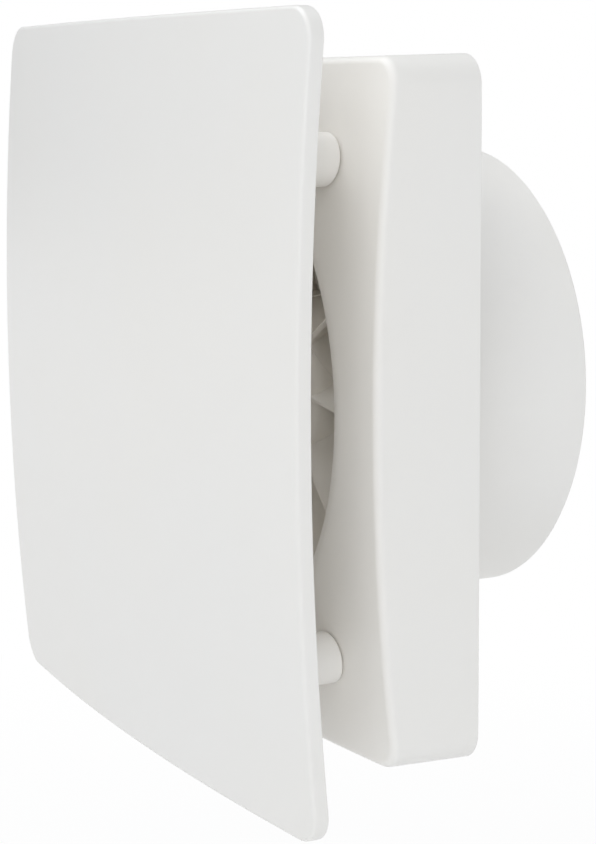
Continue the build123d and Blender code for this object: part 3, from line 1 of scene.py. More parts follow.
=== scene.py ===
# %% [markdown]
# # A bathroom extractor fan, finished in Blender
# The fan is a square tile standing on four posts in front of a square housing, with a round duct
# spigot behind. The construction comes as a fixed frame of real solids in metres: the origin is on
# the fan's axis in the wall plane, +Y runs into the wall, +X is right and +Z is up. Everything here
# goes where that frame says, so nothing has to be fitted by eye.

# %% Load the frame
import json
import math

import bpy
import numpy as np
from mathutils import Matrix, Vector


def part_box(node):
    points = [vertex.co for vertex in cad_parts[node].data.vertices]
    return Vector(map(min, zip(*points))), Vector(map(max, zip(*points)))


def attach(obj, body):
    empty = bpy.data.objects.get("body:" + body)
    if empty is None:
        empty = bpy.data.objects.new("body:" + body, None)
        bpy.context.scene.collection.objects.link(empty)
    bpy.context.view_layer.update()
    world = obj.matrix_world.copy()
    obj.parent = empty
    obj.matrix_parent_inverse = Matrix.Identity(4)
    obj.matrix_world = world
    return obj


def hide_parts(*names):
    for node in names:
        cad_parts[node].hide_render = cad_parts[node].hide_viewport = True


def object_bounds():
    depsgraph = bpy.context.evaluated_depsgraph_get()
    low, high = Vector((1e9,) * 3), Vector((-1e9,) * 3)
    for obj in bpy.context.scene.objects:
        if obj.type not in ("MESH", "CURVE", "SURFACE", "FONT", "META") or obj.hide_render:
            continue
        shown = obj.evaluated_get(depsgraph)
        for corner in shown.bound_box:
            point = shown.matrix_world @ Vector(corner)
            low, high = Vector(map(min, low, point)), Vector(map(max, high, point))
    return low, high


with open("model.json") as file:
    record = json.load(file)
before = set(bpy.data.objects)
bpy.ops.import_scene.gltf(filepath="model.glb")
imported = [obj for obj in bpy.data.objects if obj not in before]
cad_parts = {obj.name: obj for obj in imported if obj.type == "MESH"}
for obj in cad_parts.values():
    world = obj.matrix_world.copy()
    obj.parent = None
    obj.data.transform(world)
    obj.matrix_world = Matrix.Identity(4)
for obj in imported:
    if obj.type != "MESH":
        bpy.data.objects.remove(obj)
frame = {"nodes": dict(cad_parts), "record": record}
nodes = frame["nodes"]
record = frame["record"]
cad_box = [list(corner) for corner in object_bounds()]
MM = 0.001
print("frame holds", len(nodes), "pieces, box", cad_box)

# %% [markdown]
# ## Surfaces from numpy
# Most shells of this fan are one closed outline carried along a profile: the outline is drawn in,
# moved in depth, and drawn in again, until the skin closes. So a shape is a table of rings, with one
# row for each step along the profile and one column for each step round the outline. numpy works out
# the whole table at once, and one function turns any such table into a mesh.

# %% Rings to a mesh


def ring_faces(rows, columns, first):
    """Quads between neighbouring rings; the last column meets the first one again."""
    row, column = np.meshgrid(np.arange(rows - 1), np.arange(columns), indexing="ij")
    after = (column + 1) % columns
    corners = (row * columns + column, row * columns + after)
    corners += ((row + 1) * columns + after, (row + 1) * columns + column)
    return np.stack(corners, axis=-1).reshape(-1, 4) + first


def cap_faces(ring_start, columns, pole):
    """Triangles from one ring to a pole."""
    column = np.arange(columns)
    after = (column + 1) % columns
    return np.stack([ring_start + column, ring_start + after, np.full(columns, pole)], axis=-1)


def skin(rings):
    """Closed skin over a table of rings (rows, columns, 3): poles are the end rings' middles."""
    rows, columns, _ = rings.shape
    poles = np.stack([rings[0].mean(axis=0), rings[-1].mean(axis=0)])
    points = np.concatenate([rings.reshape(-1, 3), poles])
    quads = ring_faces(rows, columns, 0)
    start = cap_faces(0, columns, rows * columns)[:, ::-1]
    end = cap_faces((rows - 1) * columns, columns, rows * columns + 1)
    return points, quads, np.concatenate([start, end])


def torus_skin(rings):
    """Closed skin whose last ring meets its first one, as on a tube with an open middle."""
    rows, columns, _ = rings.shape
    quads = ring_faces(rows + 1, columns, 0) % (rows * columns)
    return rings.reshape(-1, 3), quads, np.zeros((0, 3), dtype=int)


def volume_of(points, quads, triangles):
    """Volume inside a closed skin: the sum over its triangles of a . (b x c) / 6."""
    split = np.concatenate([quads[:, [0, 1, 2]], quads[:, [0, 2, 3]], triangles])
    a, b, c = points[split[:, 0]], points[split[:, 1]], points[split[:, 2]]
    return float(np.einsum("ij,ij->i", a, np.cross(b, c)).sum() / 6)


def piece(name, *skins, sharp=35.0):
    """One mesh object from closed skins, each turned so that its faces point outwards."""
    points, faces, first = [], [], 0
    for own, quads, triangles in skins:
        if volume_of(own, quads, triangles) < 0:
            quads, triangles = quads[:, ::-1], triangles[:, ::-1]
        points.append(own)
        faces += (quads + first).tolist() + (triangles + first).tolist()
        first += len(own)
    mesh = bpy.data.meshes.new(name)
    mesh.from_pydata(np.concatenate(points), [], faces)
    mesh.shade_smooth()
    mesh.set_sharp_from_angle(angle=math.radians(sharp))
    mesh.update()
    made = bpy.data.objects.new(name, mesh)
    bpy.context.scene.collection.objects.link(made)
    print(name, "has", len(mesh.polygons), "faces")
    return made


# %% [markdown]
# Two outlines are enough for the whole fan: a circle, and a square with rounded corners. Each comes
# with the direction that points straight out of it, because drawing the outline in by a distance
# means moving every point against that direction.

# %% Outlines and domes
ARC_STEPS = 12
EDGE_STEPS = 22
JOINED_SHARP = 38.0


def rounded_square(width, height, corner):
    """Points and outward directions: each corner is a quarter circle, each side an even run."""
    turn = np.linspace(0, math.pi / 2, ARC_STEPS + 1)
    share = np.arange(1, EDGE_STEPS)[:, None] / EDGE_STEPS
    middles = np.array([(1, 1), (-1, 1), (-1, -1), (1, -1)]) * (width / 2 - corner, height / 2 - corner)
    points, outwards = [], []
    for number, middle in enumerate(middles):
        angle = turn + number * math.pi / 2
        arc_out = np.stack([np.cos(angle), np.sin(angle)], axis=1)
        following = middles[(number + 1) % 4] + corner * arc_out[-1]
        arc = middle + corner * arc_out
        points += [arc, arc[-1] + share * (following - arc[-1])]
        outwards += [arc_out, np.repeat(arc_out[-1:], EDGE_STEPS - 1, axis=0)]
    return np.concatenate(points), np.concatenate(outwards)


def dome(apex, radius, across):
    """Depth of a large ball's front at points (..., 2): it stands `apex` in front of the wall."""
    return -apex + radius - np.sqrt(radius ** 2 - (across ** 2).sum(axis=-1))


def at_depth(across, depth):
    """Points in space from points across the axis (X, Z) and a depth (Y)."""
    depth = np.broadcast_to(depth, across.shape[:-1])
    return np.stack([across[..., 0], depth, across[..., 1]], axis=-1)


def quarter(steps):
    """Angles of a quarter turn, with both ends."""
    return np.linspace(0, math.pi / 2, steps + 1)


# %% [markdown]
# A turned part, such as a post or the duct, is a profile of radius and depth carried round an axis.
# The profile is closed, so the skin is a tube that meets itself, or it touches the axis at both ends.

# %% Turned parts


def turned(profile, middle=(0.0, 0.0), columns=96):
    """Rings round an axis along Y through `middle`: every (radius, depth) becomes a circle."""
    profile = np.asarray(profile, dtype=float)
    angle = np.linspace(0, 2 * math.pi, columns, endpoint=False)
    circle = np.stack([np.cos(angle), np.sin(angle)], axis=-1)
    across = profile[:, 0, None, None] * circle + np.asarray(middle)
    return at_depth(across, profile[:, 1, None])


def bend(middle, radius, start, end, steps=8):
    """Arc in a profile, from one angle to another in degrees, as (radius, depth) points."""
    angle = np.radians(np.linspace(start, end, steps + 1))
    return np.stack([middle[0] + radius * np.cos(angle), middle[1] + radius * np.sin(angle)], axis=1)


def run(start, end, steps=2):
    """Straight stretch of a profile, without its first point."""
    share = np.linspace(0, 1, steps + 1)[1:, None]
    return np.asarray(start) + share * (np.asarray(end) - np.asarray(start))


def peg_skin(radius, front, back, middle, columns=48):
    """Plain closed peg along Y."""
    profile = [(radius / 2, front), (radius, front), (radius, back), (radius / 2, back)]
    return skin(turned(profile, middle, columns))


def block_skin(middle, size):
    """Plain closed block, given by its middle and its size along X, Y and Z."""
    square = np.array([(-1, -1), (1, -1), (1, 1), (-1, 1)]) / 2
    levels = [(0.5, -0.5), (1.0, -0.5), (1.0, 0.5), (0.5, 0.5)]
    rings = [at_depth(square * share, np.full(4, level)) for share, level in levels]
    return skin(np.stack(rings) * np.asarray(size) + np.asarray(middle))


def combine(target, other, how):
    """Joins another piece to the target, or takes it out of it, for good; the other one is removed."""
    modifier = target.modifiers.new("combine", "BOOLEAN")
    modifier.operation = how
    modifier.solver = "EXACT"
    modifier.use_self = True
    modifier.object = other
    shape = target.evaluated_get(bpy.context.evaluated_depsgraph_get())
    mesh = bpy.data.meshes.new_from_object(shape)
    target.modifiers.clear()
    target.data = mesh
    mesh.set_sharp_from_angle(angle=math.radians(JOINED_SHARP))
    bpy.data.objects.remove(other)
    print(target.name, "has", len(mesh.polygons), "faces after", how.lower())


# %% [markdown]
# ## The front panel
# The panel is a white tile, injection-moulded and domed both ways, with a rim a little thicker than
# its skin. It could be a subdivided plane with a Solidify modifier, but then its edge would have the
# same round all over. Here each ring has its own place on the real section: across the front dome,
# round the front edge, down the side, round the back edge and over the hollow back.

# %% Front panel: rings
panel_low, panel_high = [np.array(corner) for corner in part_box("front_panel")]
PANEL_W = float(panel_high[0] - panel_low[0])
PANEL_H = float(panel_high[2] - panel_low[2])
PANEL_APEX = float(-panel_low[1])
PANEL_CORNER = 6.7 * MM
PANEL_DOME_R = 820.0 * MM
PANEL_RIM = 3.2 * MM
PANEL_RIM_W = 2.6 * MM
PANEL_SKIN = 2.2 * MM
PANEL_ROUND = 0.8 * MM
PANEL_BACK_ROUND = 0.4 * MM
PANEL_CELLS = 26
POST_X = POST_Z = 49.6 * MM
POST_PLACES = [(x, z) for x in (-POST_X, POST_X) for z in (-POST_Z, POST_Z)]


def panel_depth(behind, across):
    """Depth of a surface that lies `behind` the front of the panel."""
    return dome(PANEL_APEX - behind, PANEL_DOME_R - behind, across)


def panel_skin():
    """Front dome, front edge, side, back edge, rim and hollow back, as one table of rings."""
    edge, out = rounded_square(PANEL_W, PANEL_H, PANEL_CORNER)
    turn = quarter(6)[:, None]
    grow = np.linspace(0, 1, PANEL_CELLS + 1)[1:, None, None]
    front = grow[:-1] * (edge - PANEL_ROUND * out)
    rings = [at_depth(front, panel_depth(0, front))]
    inset = PANEL_ROUND * (1 - np.sin(turn))[..., None]
    round_off = edge - inset * out
    rings.append(at_depth(round_off, panel_depth(0, round_off) + PANEL_ROUND * (1 - np.cos(turn))))
    inset = PANEL_BACK_ROUND * (1 - np.cos(turn))[..., None]
    round_off = edge - inset * out
    back = panel_depth(PANEL_RIM, round_off) - PANEL_BACK_ROUND * (1 - np.sin(turn))
    rings.append(at_depth(round_off, back))
    rim = edge - PANEL_RIM_W * out
    rings.append(at_depth(rim[None], panel_depth(PANEL_RIM, rim)[None]))
    hollow = grow[::-1] * rim
    rings.append(at_depth(hollow, panel_depth(PANEL_SKIN, hollow)))
    return skin(np.concatenate(rings))


print("panel", round(PANEL_W / MM, 1), "x", round(PANEL_H / MM, 1), "mm, apex", round(PANEL_APEX / MM, 1))

# %% [markdown]
# Behind the tile stand four short bosses that hold the posts, with low ribs between them that keep
# the tile from drumming. A boss is a turned peg, and a rib is a small rectangle carried along a line
# that follows the dome. They are joined to the tile, and the holes for the posts' tenons are cut.

# %% Front panel: bosses and ribs
BOSS_R = 6.2 * MM
BOSS_HOLE_R = 3.55 * MM
BOSS_HOLE_DEPTH = 3.05 * MM
BOSS_H = 3.0 * MM
BOSS_ROUND = 0.35 * MM
RIB_W = 1.6 * MM
RIB_H = 1.4 * MM
POST_AT = np.array([POST_X, POST_Z])
BOSS_BACK = float(panel_depth(0, POST_AT)) + PANEL_SKIN + BOSS_H


def boss_skin(place):
    """Round boss from the middle of the tile's skin to the shoulder of the post."""
    root = float(panel_depth(PANEL_SKIN / 2, np.array(place)))
    outside = bend((BOSS_R - BOSS_ROUND, BOSS_BACK - BOSS_ROUND), BOSS_ROUND, 0, 90, 4)
    return skin(turned([(BOSS_R / 2, root), (BOSS_R, root), *outside, (BOSS_R / 2, BOSS_BACK)], place, 48))


def rib_skin(start, end):
    """Rectangle carried from one boss to the next: its foot is in the skin, its top behind it."""
    along = np.linspace(0, 1, 25)[:, None]
    line = np.asarray(start) + along * (np.asarray(end) - np.asarray(start))
    way = (np.asarray(end) - np.asarray(start)) / np.linalg.norm(np.asarray(end) - np.asarray(start))
    side = np.array([-way[1], way[0]]) * RIB_W / 2
    foot, top = PANEL_SKIN / 2, PANEL_SKIN + RIB_H
    ring = [(line - side, foot), (line + side, foot), (line + side, top), (line - side, top)]
    return skin(np.stack([at_depth(points, panel_depth(behind, points)) for points, behind in ring], axis=1))


rib_ends = [((-POST_X, side * POST_Z), (POST_X, side * POST_Z)) for side in (-1, 1)]
rib_ends += [((side * POST_X, -POST_Z), (side * POST_X, POST_Z)) for side in (-1, 1)]
front_tile = piece("front_tile", panel_skin(), sharp=40.0)
behind_tile = [boss_skin(place) for place in POST_PLACES] + [rib_skin(*ends) for ends in rib_ends]
combine(front_tile, piece("behind_tile", *behind_tile), "UNION")
tenon_holes = [peg_skin(BOSS_HOLE_R, BOSS_BACK - BOSS_HOLE_DEPTH, BOSS_BACK + 1 * MM, place)
               for place in POST_PLACES]
combine(front_tile, piece("tenon_holes", *tenon_holes), "DIFFERENCE")
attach(front_tile, "panel")
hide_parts("front_panel")

# %% [markdown]
# ## The posts
# Each post is one turned moulding: a tenon in the panel, the thick spacer that shows in the gap, and
# a thin peg that plugs into the housing, with a groove for a rubber ring. Only the foot isn't turned:
# it follows the housing's dome, so its depth is taken from that dome at every point of the ring.

# %% Posts
POST_R = 5.3 * MM
TENON_R = 3.5 * MM
TENON_DEPTH = 3.0 * MM
PEG_R = 3.0 * MM
PEG_TIP = 0.8 * MM
POST_ROUND = 0.5 * MM
HOUSING_APEX = 26.9 * MM
HOUSING_DOME_R = 582.0 * MM
FOOT_GAP = 0.3 * MM
PEG_LENGTH = 11.6 * MM
RING_BACK = 5.0 * MM
GROOVE_DEPTH = 0.9 * MM
GROOVE_W = 1.1 * MM
FACE_AT_POST = float(dome(HOUSING_APEX, HOUSING_DOME_R, POST_AT))
PEG_BACK = FACE_AT_POST + PEG_LENGTH
RING_Y = PEG_BACK - RING_BACK


def foot_depth(across, back_by):
    """Depth of the post's foot, a small gap in front of the housing's dome."""
    return dome(HOUSING_APEX + FOOT_GAP, HOUSING_DOME_R + FOOT_GAP, across) - back_by


def post_skin(place):
    """Tenon and shoulder, spacer with a rounded foot on the dome, then the grooved peg."""
    columns = 64
    tenon = turned(
        [(TENON_R / 2, BOSS_BACK - TENON_DEPTH), (TENON_R, BOSS_BACK - TENON_DEPTH), (TENON_R, BOSS_BACK),
         (POST_R, BOSS_BACK), (POST_R, BOSS_BACK + POST_ROUND)], place, columns)
    turn = quarter(5)
    radii = POST_R - POST_ROUND * (1 - np.cos(turn))
    foot = turned(np.stack([radii, 0 * radii], axis=1), place, columns)
    across = foot[..., [0, 2]]
    foot = at_depth(across, foot_depth(across, POST_ROUND * (1 - np.sin(turn))[:, None]))
    collar = turned([(PEG_R, 0.0)], place, columns)[..., [0, 2]]
    collar = at_depth(collar, foot_depth(collar, 0.0))
    groove_r = PEG_R - GROOVE_DEPTH
    half = GROOVE_W / 2
    peg = turned(
        [(PEG_R, RING_Y - half), (groove_r, RING_Y - half),
         (groove_r, RING_Y + half), (PEG_R, RING_Y + half),
         (PEG_R, PEG_BACK - PEG_TIP), (PEG_R - PEG_TIP, PEG_BACK), (PEG_R / 3, PEG_BACK)], place, columns)
    return skin(np.concatenate([tenon, foot, collar, peg]))


posts = piece("spacer_posts", *[post_skin(place) for place in POST_PLACES])
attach(posts, "panel")
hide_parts("panel_posts")

# %% [markdown]
# ## The housing cover
# The cover is a drafted square box with a domed face and a rolled inlet. Round the inlet its rings
# are circles and at the rim they are squares, so the face between them is a blend: each point moves
# from the circle to the square along its own direction. The skin starts at the collar's back edge
# inside the inlet, rolls over the lip, runs out over the face and down the sides, and comes back
# inside at the wall's thickness until it meets its own start.

# %% Housing cover: rings
cover_low, cover_high = [np.array(corner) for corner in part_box("fascia")]
HOUSING_W = float(cover_high[0] - cover_low[0])
HOUSING_H = float(cover_high[2] - cover_low[2])
HOUSING_CORNER = 6.2 * MM
HOUSING_DRAFT = math.tan(math.radians(1.38))
HOUSING_ROUND = 1.5 * MM
COVER_WALL = 2.2 * MM
INLET_R = 50.7 * MM
LIP_R = 5.5 * MM
COLLAR_WALL = 2.0 * MM
COLLAR_BACK = -14.99 * MM
FACE_CELLS = 16
WALL_ROUND = 0.25 * MM
SOCKET_BOSS_R = 5.48 * MM
SOCKET_START = 1.0 * MM
SOCKET_END = 8.0 * MM


def cover_depth(behind, across):
    """Depth of a surface that lies `behind` the face of the cover."""
    return dome(HOUSING_APEX - behind, HOUSING_DOME_R - behind, across)


def side_inset(depth):
    """How far the drafted side stands in from the outline at a depth in front of the wall."""
    return HOUSING_DRAFT * -depth


def cover_rings():
    """All rings of the cover, from the collar's back edge out over the face and back inside."""
    edge, out = rounded_square(HOUSING_W, HOUSING_H, HOUSING_CORNER)
    ray = edge / np.linalg.norm(edge, axis=1, keepdims=True)
    lip_top = float(cover_depth(0, np.array([INLET_R, 0.0])))
    rings = []

    def circle(radius, depth):
        rings.append(at_depth(radius * ray, depth))

    def draw_in(inset, depth):
        rings.append(at_depth(edge - np.asarray(inset)[..., None] * out, depth))

    lip_middle = float(cover_depth(LIP_R, np.array([INLET_R + LIP_R, 0.0])))
    lip_tilt = math.asin((INLET_R + LIP_R) / (HOUSING_DOME_R - LIP_R))
    circle(INLET_R, COLLAR_BACK)
    for turn in np.linspace(math.pi, 1.5 * math.pi + lip_tilt, 15):
        circle(INLET_R + LIP_R + LIP_R * math.cos(turn), lip_middle + LIP_R * math.sin(turn))
    lip_edge = INLET_R + LIP_R + LIP_R * math.sin(lip_tilt)
    rim_front = cover_depth(0, edge)
    start, end = lip_edge * ray, edge - (side_inset(rim_front) + HOUSING_ROUND)[:, None] * out
    for share in np.linspace(0, 1, FACE_CELLS + 1)[1:-1]:
        across = start + share * (end - start)
        rings.append(at_depth(across, cover_depth(0, across)))
    for turn in quarter(7):
        inset = side_inset(rim_front) + HOUSING_ROUND * (1 - math.sin(turn))
        across = edge - inset[:, None] * out
        rings.append(at_depth(across, cover_depth(0, across) + HOUSING_ROUND * (1 - math.cos(turn))))
    side_front = rim_front + HOUSING_ROUND
    for share in (0.33, 0.66):
        depth = side_front * (1 - share)
        draw_in(side_inset(depth), depth)
    for turn in quarter(3):
        draw_in(np.full(len(edge), WALL_ROUND * (1 - math.cos(turn))), -WALL_ROUND * (1 - math.sin(turn)))
    draw_in(np.full(len(edge), COVER_WALL), 0.0)
    inner_front = cover_depth(COVER_WALL, edge - COVER_WALL * out)
    draw_in(COVER_WALL + side_inset(inner_front), inner_front)
    lip_back = INLET_R + LIP_R
    start, end = lip_back * ray, edge - (COVER_WALL + side_inset(inner_front))[:, None] * out
    for share in np.linspace(1, 0, 7)[1:]:
        across = start + share * (end - start)
        rings.append(at_depth(across, cover_depth(COVER_WALL, across)))
    for turn in quarter(6)[1:]:
        inner = LIP_R - COLLAR_WALL
        circle(lip_back - inner * math.sin(turn), lip_top + LIP_R - inner * math.cos(turn))
    circle(INLET_R + COLLAR_WALL, COLLAR_BACK)
    return np.stack(rings)


def socket_skin(place):
    """Round boss behind the face that the peg plugs into."""
    return peg_skin(SOCKET_BOSS_R, FACE_AT_POST + SOCKET_START, FACE_AT_POST + SOCKET_END, place)


cover = piece("housing_cover", torus_skin(cover_rings()))

# %% [markdown]
# The sockets, two tongues at the top edge and the pad for the cover's screw are joined to the shell,
# and then the holes are cut. Boolean modifiers do both, because holes in a grid of rings would need a
# second grid round each. The results are applied, so no Boolean is left on the piece. One fault is
# known: these tongues stand 9.3 mm from the wall, 4.6 mm in front of the tray's slots at 4.7 mm.

# %% Housing cover: sockets, tongues, pad and holes
SOCKET_R = 3.08 * MM
TONGUE_X = 35.0 * MM
TONGUE_Y = -9.3 * MM
TONGUE_INSET = 0.75 * MM
TONGUE_SIZE = (10 * MM, 1.2 * MM, 3.7 * MM)
PAD_W = 11 * MM
PAD_T = 9.8 * MM
SCREW_HEAD_H = 1.6 * MM
SCREW_RECESS_R = 3.1 * MM
SCREW_HOLE_R = 1.8 * MM
PAD_H = 2.4 * MM
PAST = 1 * MM
SOCKET_HOLE_START = 3 * MM
SOCKET_HOLE_END = 9 * MM
screw_low, screw_high = [np.array(corner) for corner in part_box("fascia_screw")]
SCREW_Y = float(screw_low[1] + screw_high[1]) / 2
SCREW_SEAT = float(screw_low[2]) + SCREW_HEAD_H
PAD_TOP = SCREW_SEAT + PAD_H
wall_in = HOUSING_H / 2 - COVER_WALL


def upright(points_and_faces):
    """The same skin turned to stand along Z: depth becomes height."""
    points, quads, triangles = points_and_faces
    return points[:, [0, 2, 1]], quads, triangles


behind_face = [socket_skin(place) for place in POST_PLACES]
behind_face += [block_skin((x, TONGUE_Y, wall_in - TONGUE_INSET), TONGUE_SIZE)
                for x in (-TONGUE_X, TONGUE_X)]
pad_low = -HOUSING_H / 2 + COVER_WALL / 2
behind_face.append(block_skin((0, SCREW_Y, (pad_low + PAD_TOP) / 2), (PAD_W, PAD_T, PAD_TOP - pad_low)))
combine(cover, piece("behind_face", *behind_face), "UNION")
holes = [peg_skin(SOCKET_R, FACE_AT_POST - SOCKET_HOLE_START, FACE_AT_POST + SOCKET_HOLE_END, place)
         for place in POST_PLACES]
holes.append(upright(peg_skin(SCREW_RECESS_R, -HOUSING_H / 2 - PAST, SCREW_SEAT, (0.0, SCREW_Y))))
holes.append(upright(peg_skin(SCREW_HOLE_R, -HOUSING_H / 2 - PAST, PAD_TOP + PAST, (0.0, SCREW_Y))))
combine(cover, piece("holes", *holes), "DIFFERENCE")
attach(cover, "fan_body")
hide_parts("fascia")

# %% [markdown]
# ## The impeller
# The impeller is one white moulding: a hub cup pressed onto the motor's shaft, with nine swept blades.
# A blade could be a plane with Solidify, but its two sides, its rounded edges and the thicker root
# are all functions of the same two numbers: how far out a point is, and how far along the blade's
# section. So both sides are worked out as one grid.

# %% Impeller: one blade
hub_low, hub_high = [np.array(corner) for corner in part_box("impeller")]
HUB_FRONT = float(hub_low[1])
HUB_BACK = float(hub_high[1])
TIP_R = float(hub_high[0])
HUB_R = 19.0 * MM
HUB_WALL = 1.6 * MM
HUB_ROUND = 3.0 * MM
HUB_FACE = 1.8 * MM
SLEEVE_R = 4.2 * MM
SLEEVE_SHORT = 1.6 * MM
SHAFT_R = 2.01 * MM
BLADE_COUNT = 9
BLADE_FIRST = 9.0
BLADE_HALF_ANGLE = math.tan(math.radians(17.0))
BLADE_T = 1.2 * MM
BLADE_CAMBER = 1.4 * MM
BLADE_ROOT = 0.55 * MM
BLADE_ROOT_FADE = 0.9 * MM
BLADE_END = 0.06
BLADE_LEADS = (0.4, 1.4)  # mm behind the hub's front, at the root and at the tip
BLADE_TRAILS = (0.6, 3.0)  # mm in front of the hub's back, at the root and at the tip
SPAN_STEPS = 18
CHORD_STEPS = 22


def blade_sides(radius, along):
    """Both sides of the blade's strip, across (round the axis) and in depth.

    The middle line runs from the leading edge to the trailing edge and bulges by the camber times
    4 c (1 - c). Half the thickness is added on each side: it is rounded off at both ends like the
    end of an ellipse, and grows near the hub by a share that dies away with the distance from it.
    """
    share = np.clip((radius - HUB_R) / (TIP_R - HUB_R), 0, 1)
    front = HUB_FRONT + (BLADE_LEADS[0] * (1 - share) + BLADE_LEADS[1] * share) * MM
    back = HUB_BACK - (BLADE_TRAILS[0] * (1 - share) + BLADE_TRAILS[1] * share) * MM
    start = np.stack([-radius * BLADE_HALF_ANGLE, front], axis=-1)
    end = np.stack([radius * BLADE_HALF_ANGLE, back], axis=-1)
    chord = end - start
    length = np.linalg.norm(chord, axis=-1, keepdims=True)
    across = np.stack([-chord[..., 1], chord[..., 0]], axis=-1) / length
    middle = start + along[..., None] * chord
    middle = middle + (BLADE_CAMBER * 4 * along * (1 - along))[..., None] * across
    end_near = np.clip((np.abs(2 * along - 1) - (1 - BLADE_END)) / BLADE_END, 0, 1)
    thick = BLADE_T / 2 * np.sqrt(1 - end_near ** 2)
    root = np.exp(-np.clip(radius - HUB_R, 0, None) / BLADE_ROOT_FADE)
    thick = thick + BLADE_ROOT * root * (1 - end_near)
    return middle + thick[..., None] * across, middle - thick[..., None] * across


def blade_skin(number):
    """Closed blade: its strip is wrapped round the axis, so every ring lies on one cylinder."""
    radius = np.linspace(HUB_R - HUB_WALL / 2, TIP_R, SPAN_STEPS)[:, None]
    chord_way = (1 - np.cos(np.linspace(0, math.pi, CHORD_STEPS))) / 2
    radius, along = np.broadcast_arrays(radius, chord_way)
    upper, lower = blade_sides(radius, along)
    loop = np.concatenate([upper, lower[:, -2:0:-1]], axis=1)
    out = np.repeat(radius[:, :1], loop.shape[1], axis=1)
    angle = loop[..., 0] / out + math.radians(BLADE_FIRST + 360 * number / BLADE_COUNT)
    rings = np.stack([out * np.cos(angle), loop[..., 1], out * np.sin(angle)], axis=-1)
    rows, columns, _ = rings.shape
    quads = ring_faces(rows, columns, 0)
    step = np.arange(CHORD_STEPS - 1)
    other = (columns - step) % columns
    end_cap = np.stack([step, step + 1, other - 1, other], axis=-1)
    end_cap[0, 3] = 0
    tri = np.stack([end_cap[:, [0, 1, 2]], end_cap[:, [0, 2, 3]]], axis=1).reshape(-1, 3)
    tri = tri[(tri[:, 0] != tri[:, 2]) & (tri[:, 1] != tri[:, 2]) & (tri[:, 0] != tri[:, 1])]
    last = (rows - 1) * columns
    return rings.reshape(-1, 3), quads, np.concatenate([tri[:, ::-1], tri + last])


# %% [markdown]
# The hub is a turned cup with a sleeve for the shaft. The six ribs inside the solid's cup, which the
# motor hides, are left out here. The blades are joined to the cup by a Boolean, so that the impeller
# is a single skin with no hidden walls where a root enters the cup.

# %% Impeller: hub and blades together
face_back = HUB_FRONT + HUB_FACE
hub_profile = [
    (SHAFT_R, HUB_FRONT),
    *run((SHAFT_R, HUB_FRONT), (HUB_R - HUB_ROUND, HUB_FRONT), 4),
    *bend((HUB_R - HUB_ROUND, HUB_FRONT + HUB_ROUND), HUB_ROUND, 270, 360, 10)[1:],
    *run((HUB_R, HUB_FRONT + HUB_ROUND), (HUB_R, HUB_BACK), 4),
    (HUB_R - HUB_WALL, HUB_BACK),
    (HUB_R - HUB_WALL, face_back),
    (SLEEVE_R, face_back),
    (SLEEVE_R, HUB_BACK - SLEEVE_SHORT),
    (SHAFT_R, HUB_BACK - SLEEVE_SHORT),
]
rotor_blades = piece("impeller_wheel", torus_skin(turned(hub_profile, columns=120)))
combine(rotor_blades, piece("blades", *[blade_skin(number) for number in range(BLADE_COUNT)]), "UNION")
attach(rotor_blades, "rotor_set")
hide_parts("impeller")

# %% [markdown]
# ## Finishes
# Every finish is a node group that more than one material uses, placed with its own values. Each one
# reads Object coordinates in metres, so its grain keeps the same size on every piece.

# %% Node groups: sockets and links


def new_group(name, inputs, outputs):
    """Empty node group with named sockets: {name: default}, a number, a colour or None for a vector."""
    tree = bpy.data.node_groups.new(name, "ShaderNodeTree")
    for label, default in inputs.items():
        kind = "NodeSocketVector" if default is None else "NodeSocketFloat"
        kind = "NodeSocketColor" if isinstance(default, tuple) else kind
        socket = tree.interface.new_socket(name=label, in_out="INPUT", socket_type=kind)
        if default is not None:
            socket.default_value = default
    for label, kind in outputs.items():
        tree.interface.new_socket(name=label, in_out="OUTPUT", socket_type="NodeSocket" + kind)
    return tree, tree.nodes.new("NodeGroupInput").outputs, tree.nodes.new("NodeGroupOutput").inputs


def put(tree, kind, settings=None, **wires):
    """Adds a node; wires name its inputs, as numbers, colours or another node's output."""
    node = tree.nodes.new(kind)
    for name, value in (settings or {}).items():
        setattr(node, name, value)
    for name, value in wires.items():
        numbered = name[0] == "_" and name[1:].isdigit()
        socket = node.inputs[int(name[1:]) if numbered else name.replace("_", " ")]
        if isinstance(value, bpy.types.NodeSocket):
            tree.links.new(value, socket)
        else:
            socket.default_value = value
    return node


def maths(tree, how, first, second=0.0):
    """One step of arithmetic between two values."""
    return put(tree, "ShaderNodeMath", {"operation": how}, _0=first, _1=second).outputs[0]


def spread(tree, value, low, high, out_low=0.0, out_high=1.0):
    """Maps a range of values smoothly onto another range."""
    node = put(tree, "ShaderNodeMapRange", {"interpolation_type": "SMOOTHSTEP"}, Value=value, From_Min=low,
               From_Max=high, To_Min=out_low, To_Max=out_high)
    return node.outputs["Result"]


def blend_colour(tree, share, first, second):
    """Mix of two colours."""
    node = put(tree, "ShaderNodeMix", {"data_type": "RGBA"})
    for socket, value in zip((node.inputs[0], node.inputs[6], node.inputs[7]), (share, first, second)):
        if isinstance(value, bpy.types.NodeSocket):
            tree.links.new(value, socket)
        else:
            socket.default_value = value
    return node.outputs[2]


# %% [markdown]
# **Mould grain** is the fine satin texture that a spark-eroded mould leaves on the plastic. It is two
# noises, one as fine as a fifth of a millimetre and one a few millimetres across, and it drives both the
# height of the surface and how rough it is.

# %% Group: mould grain


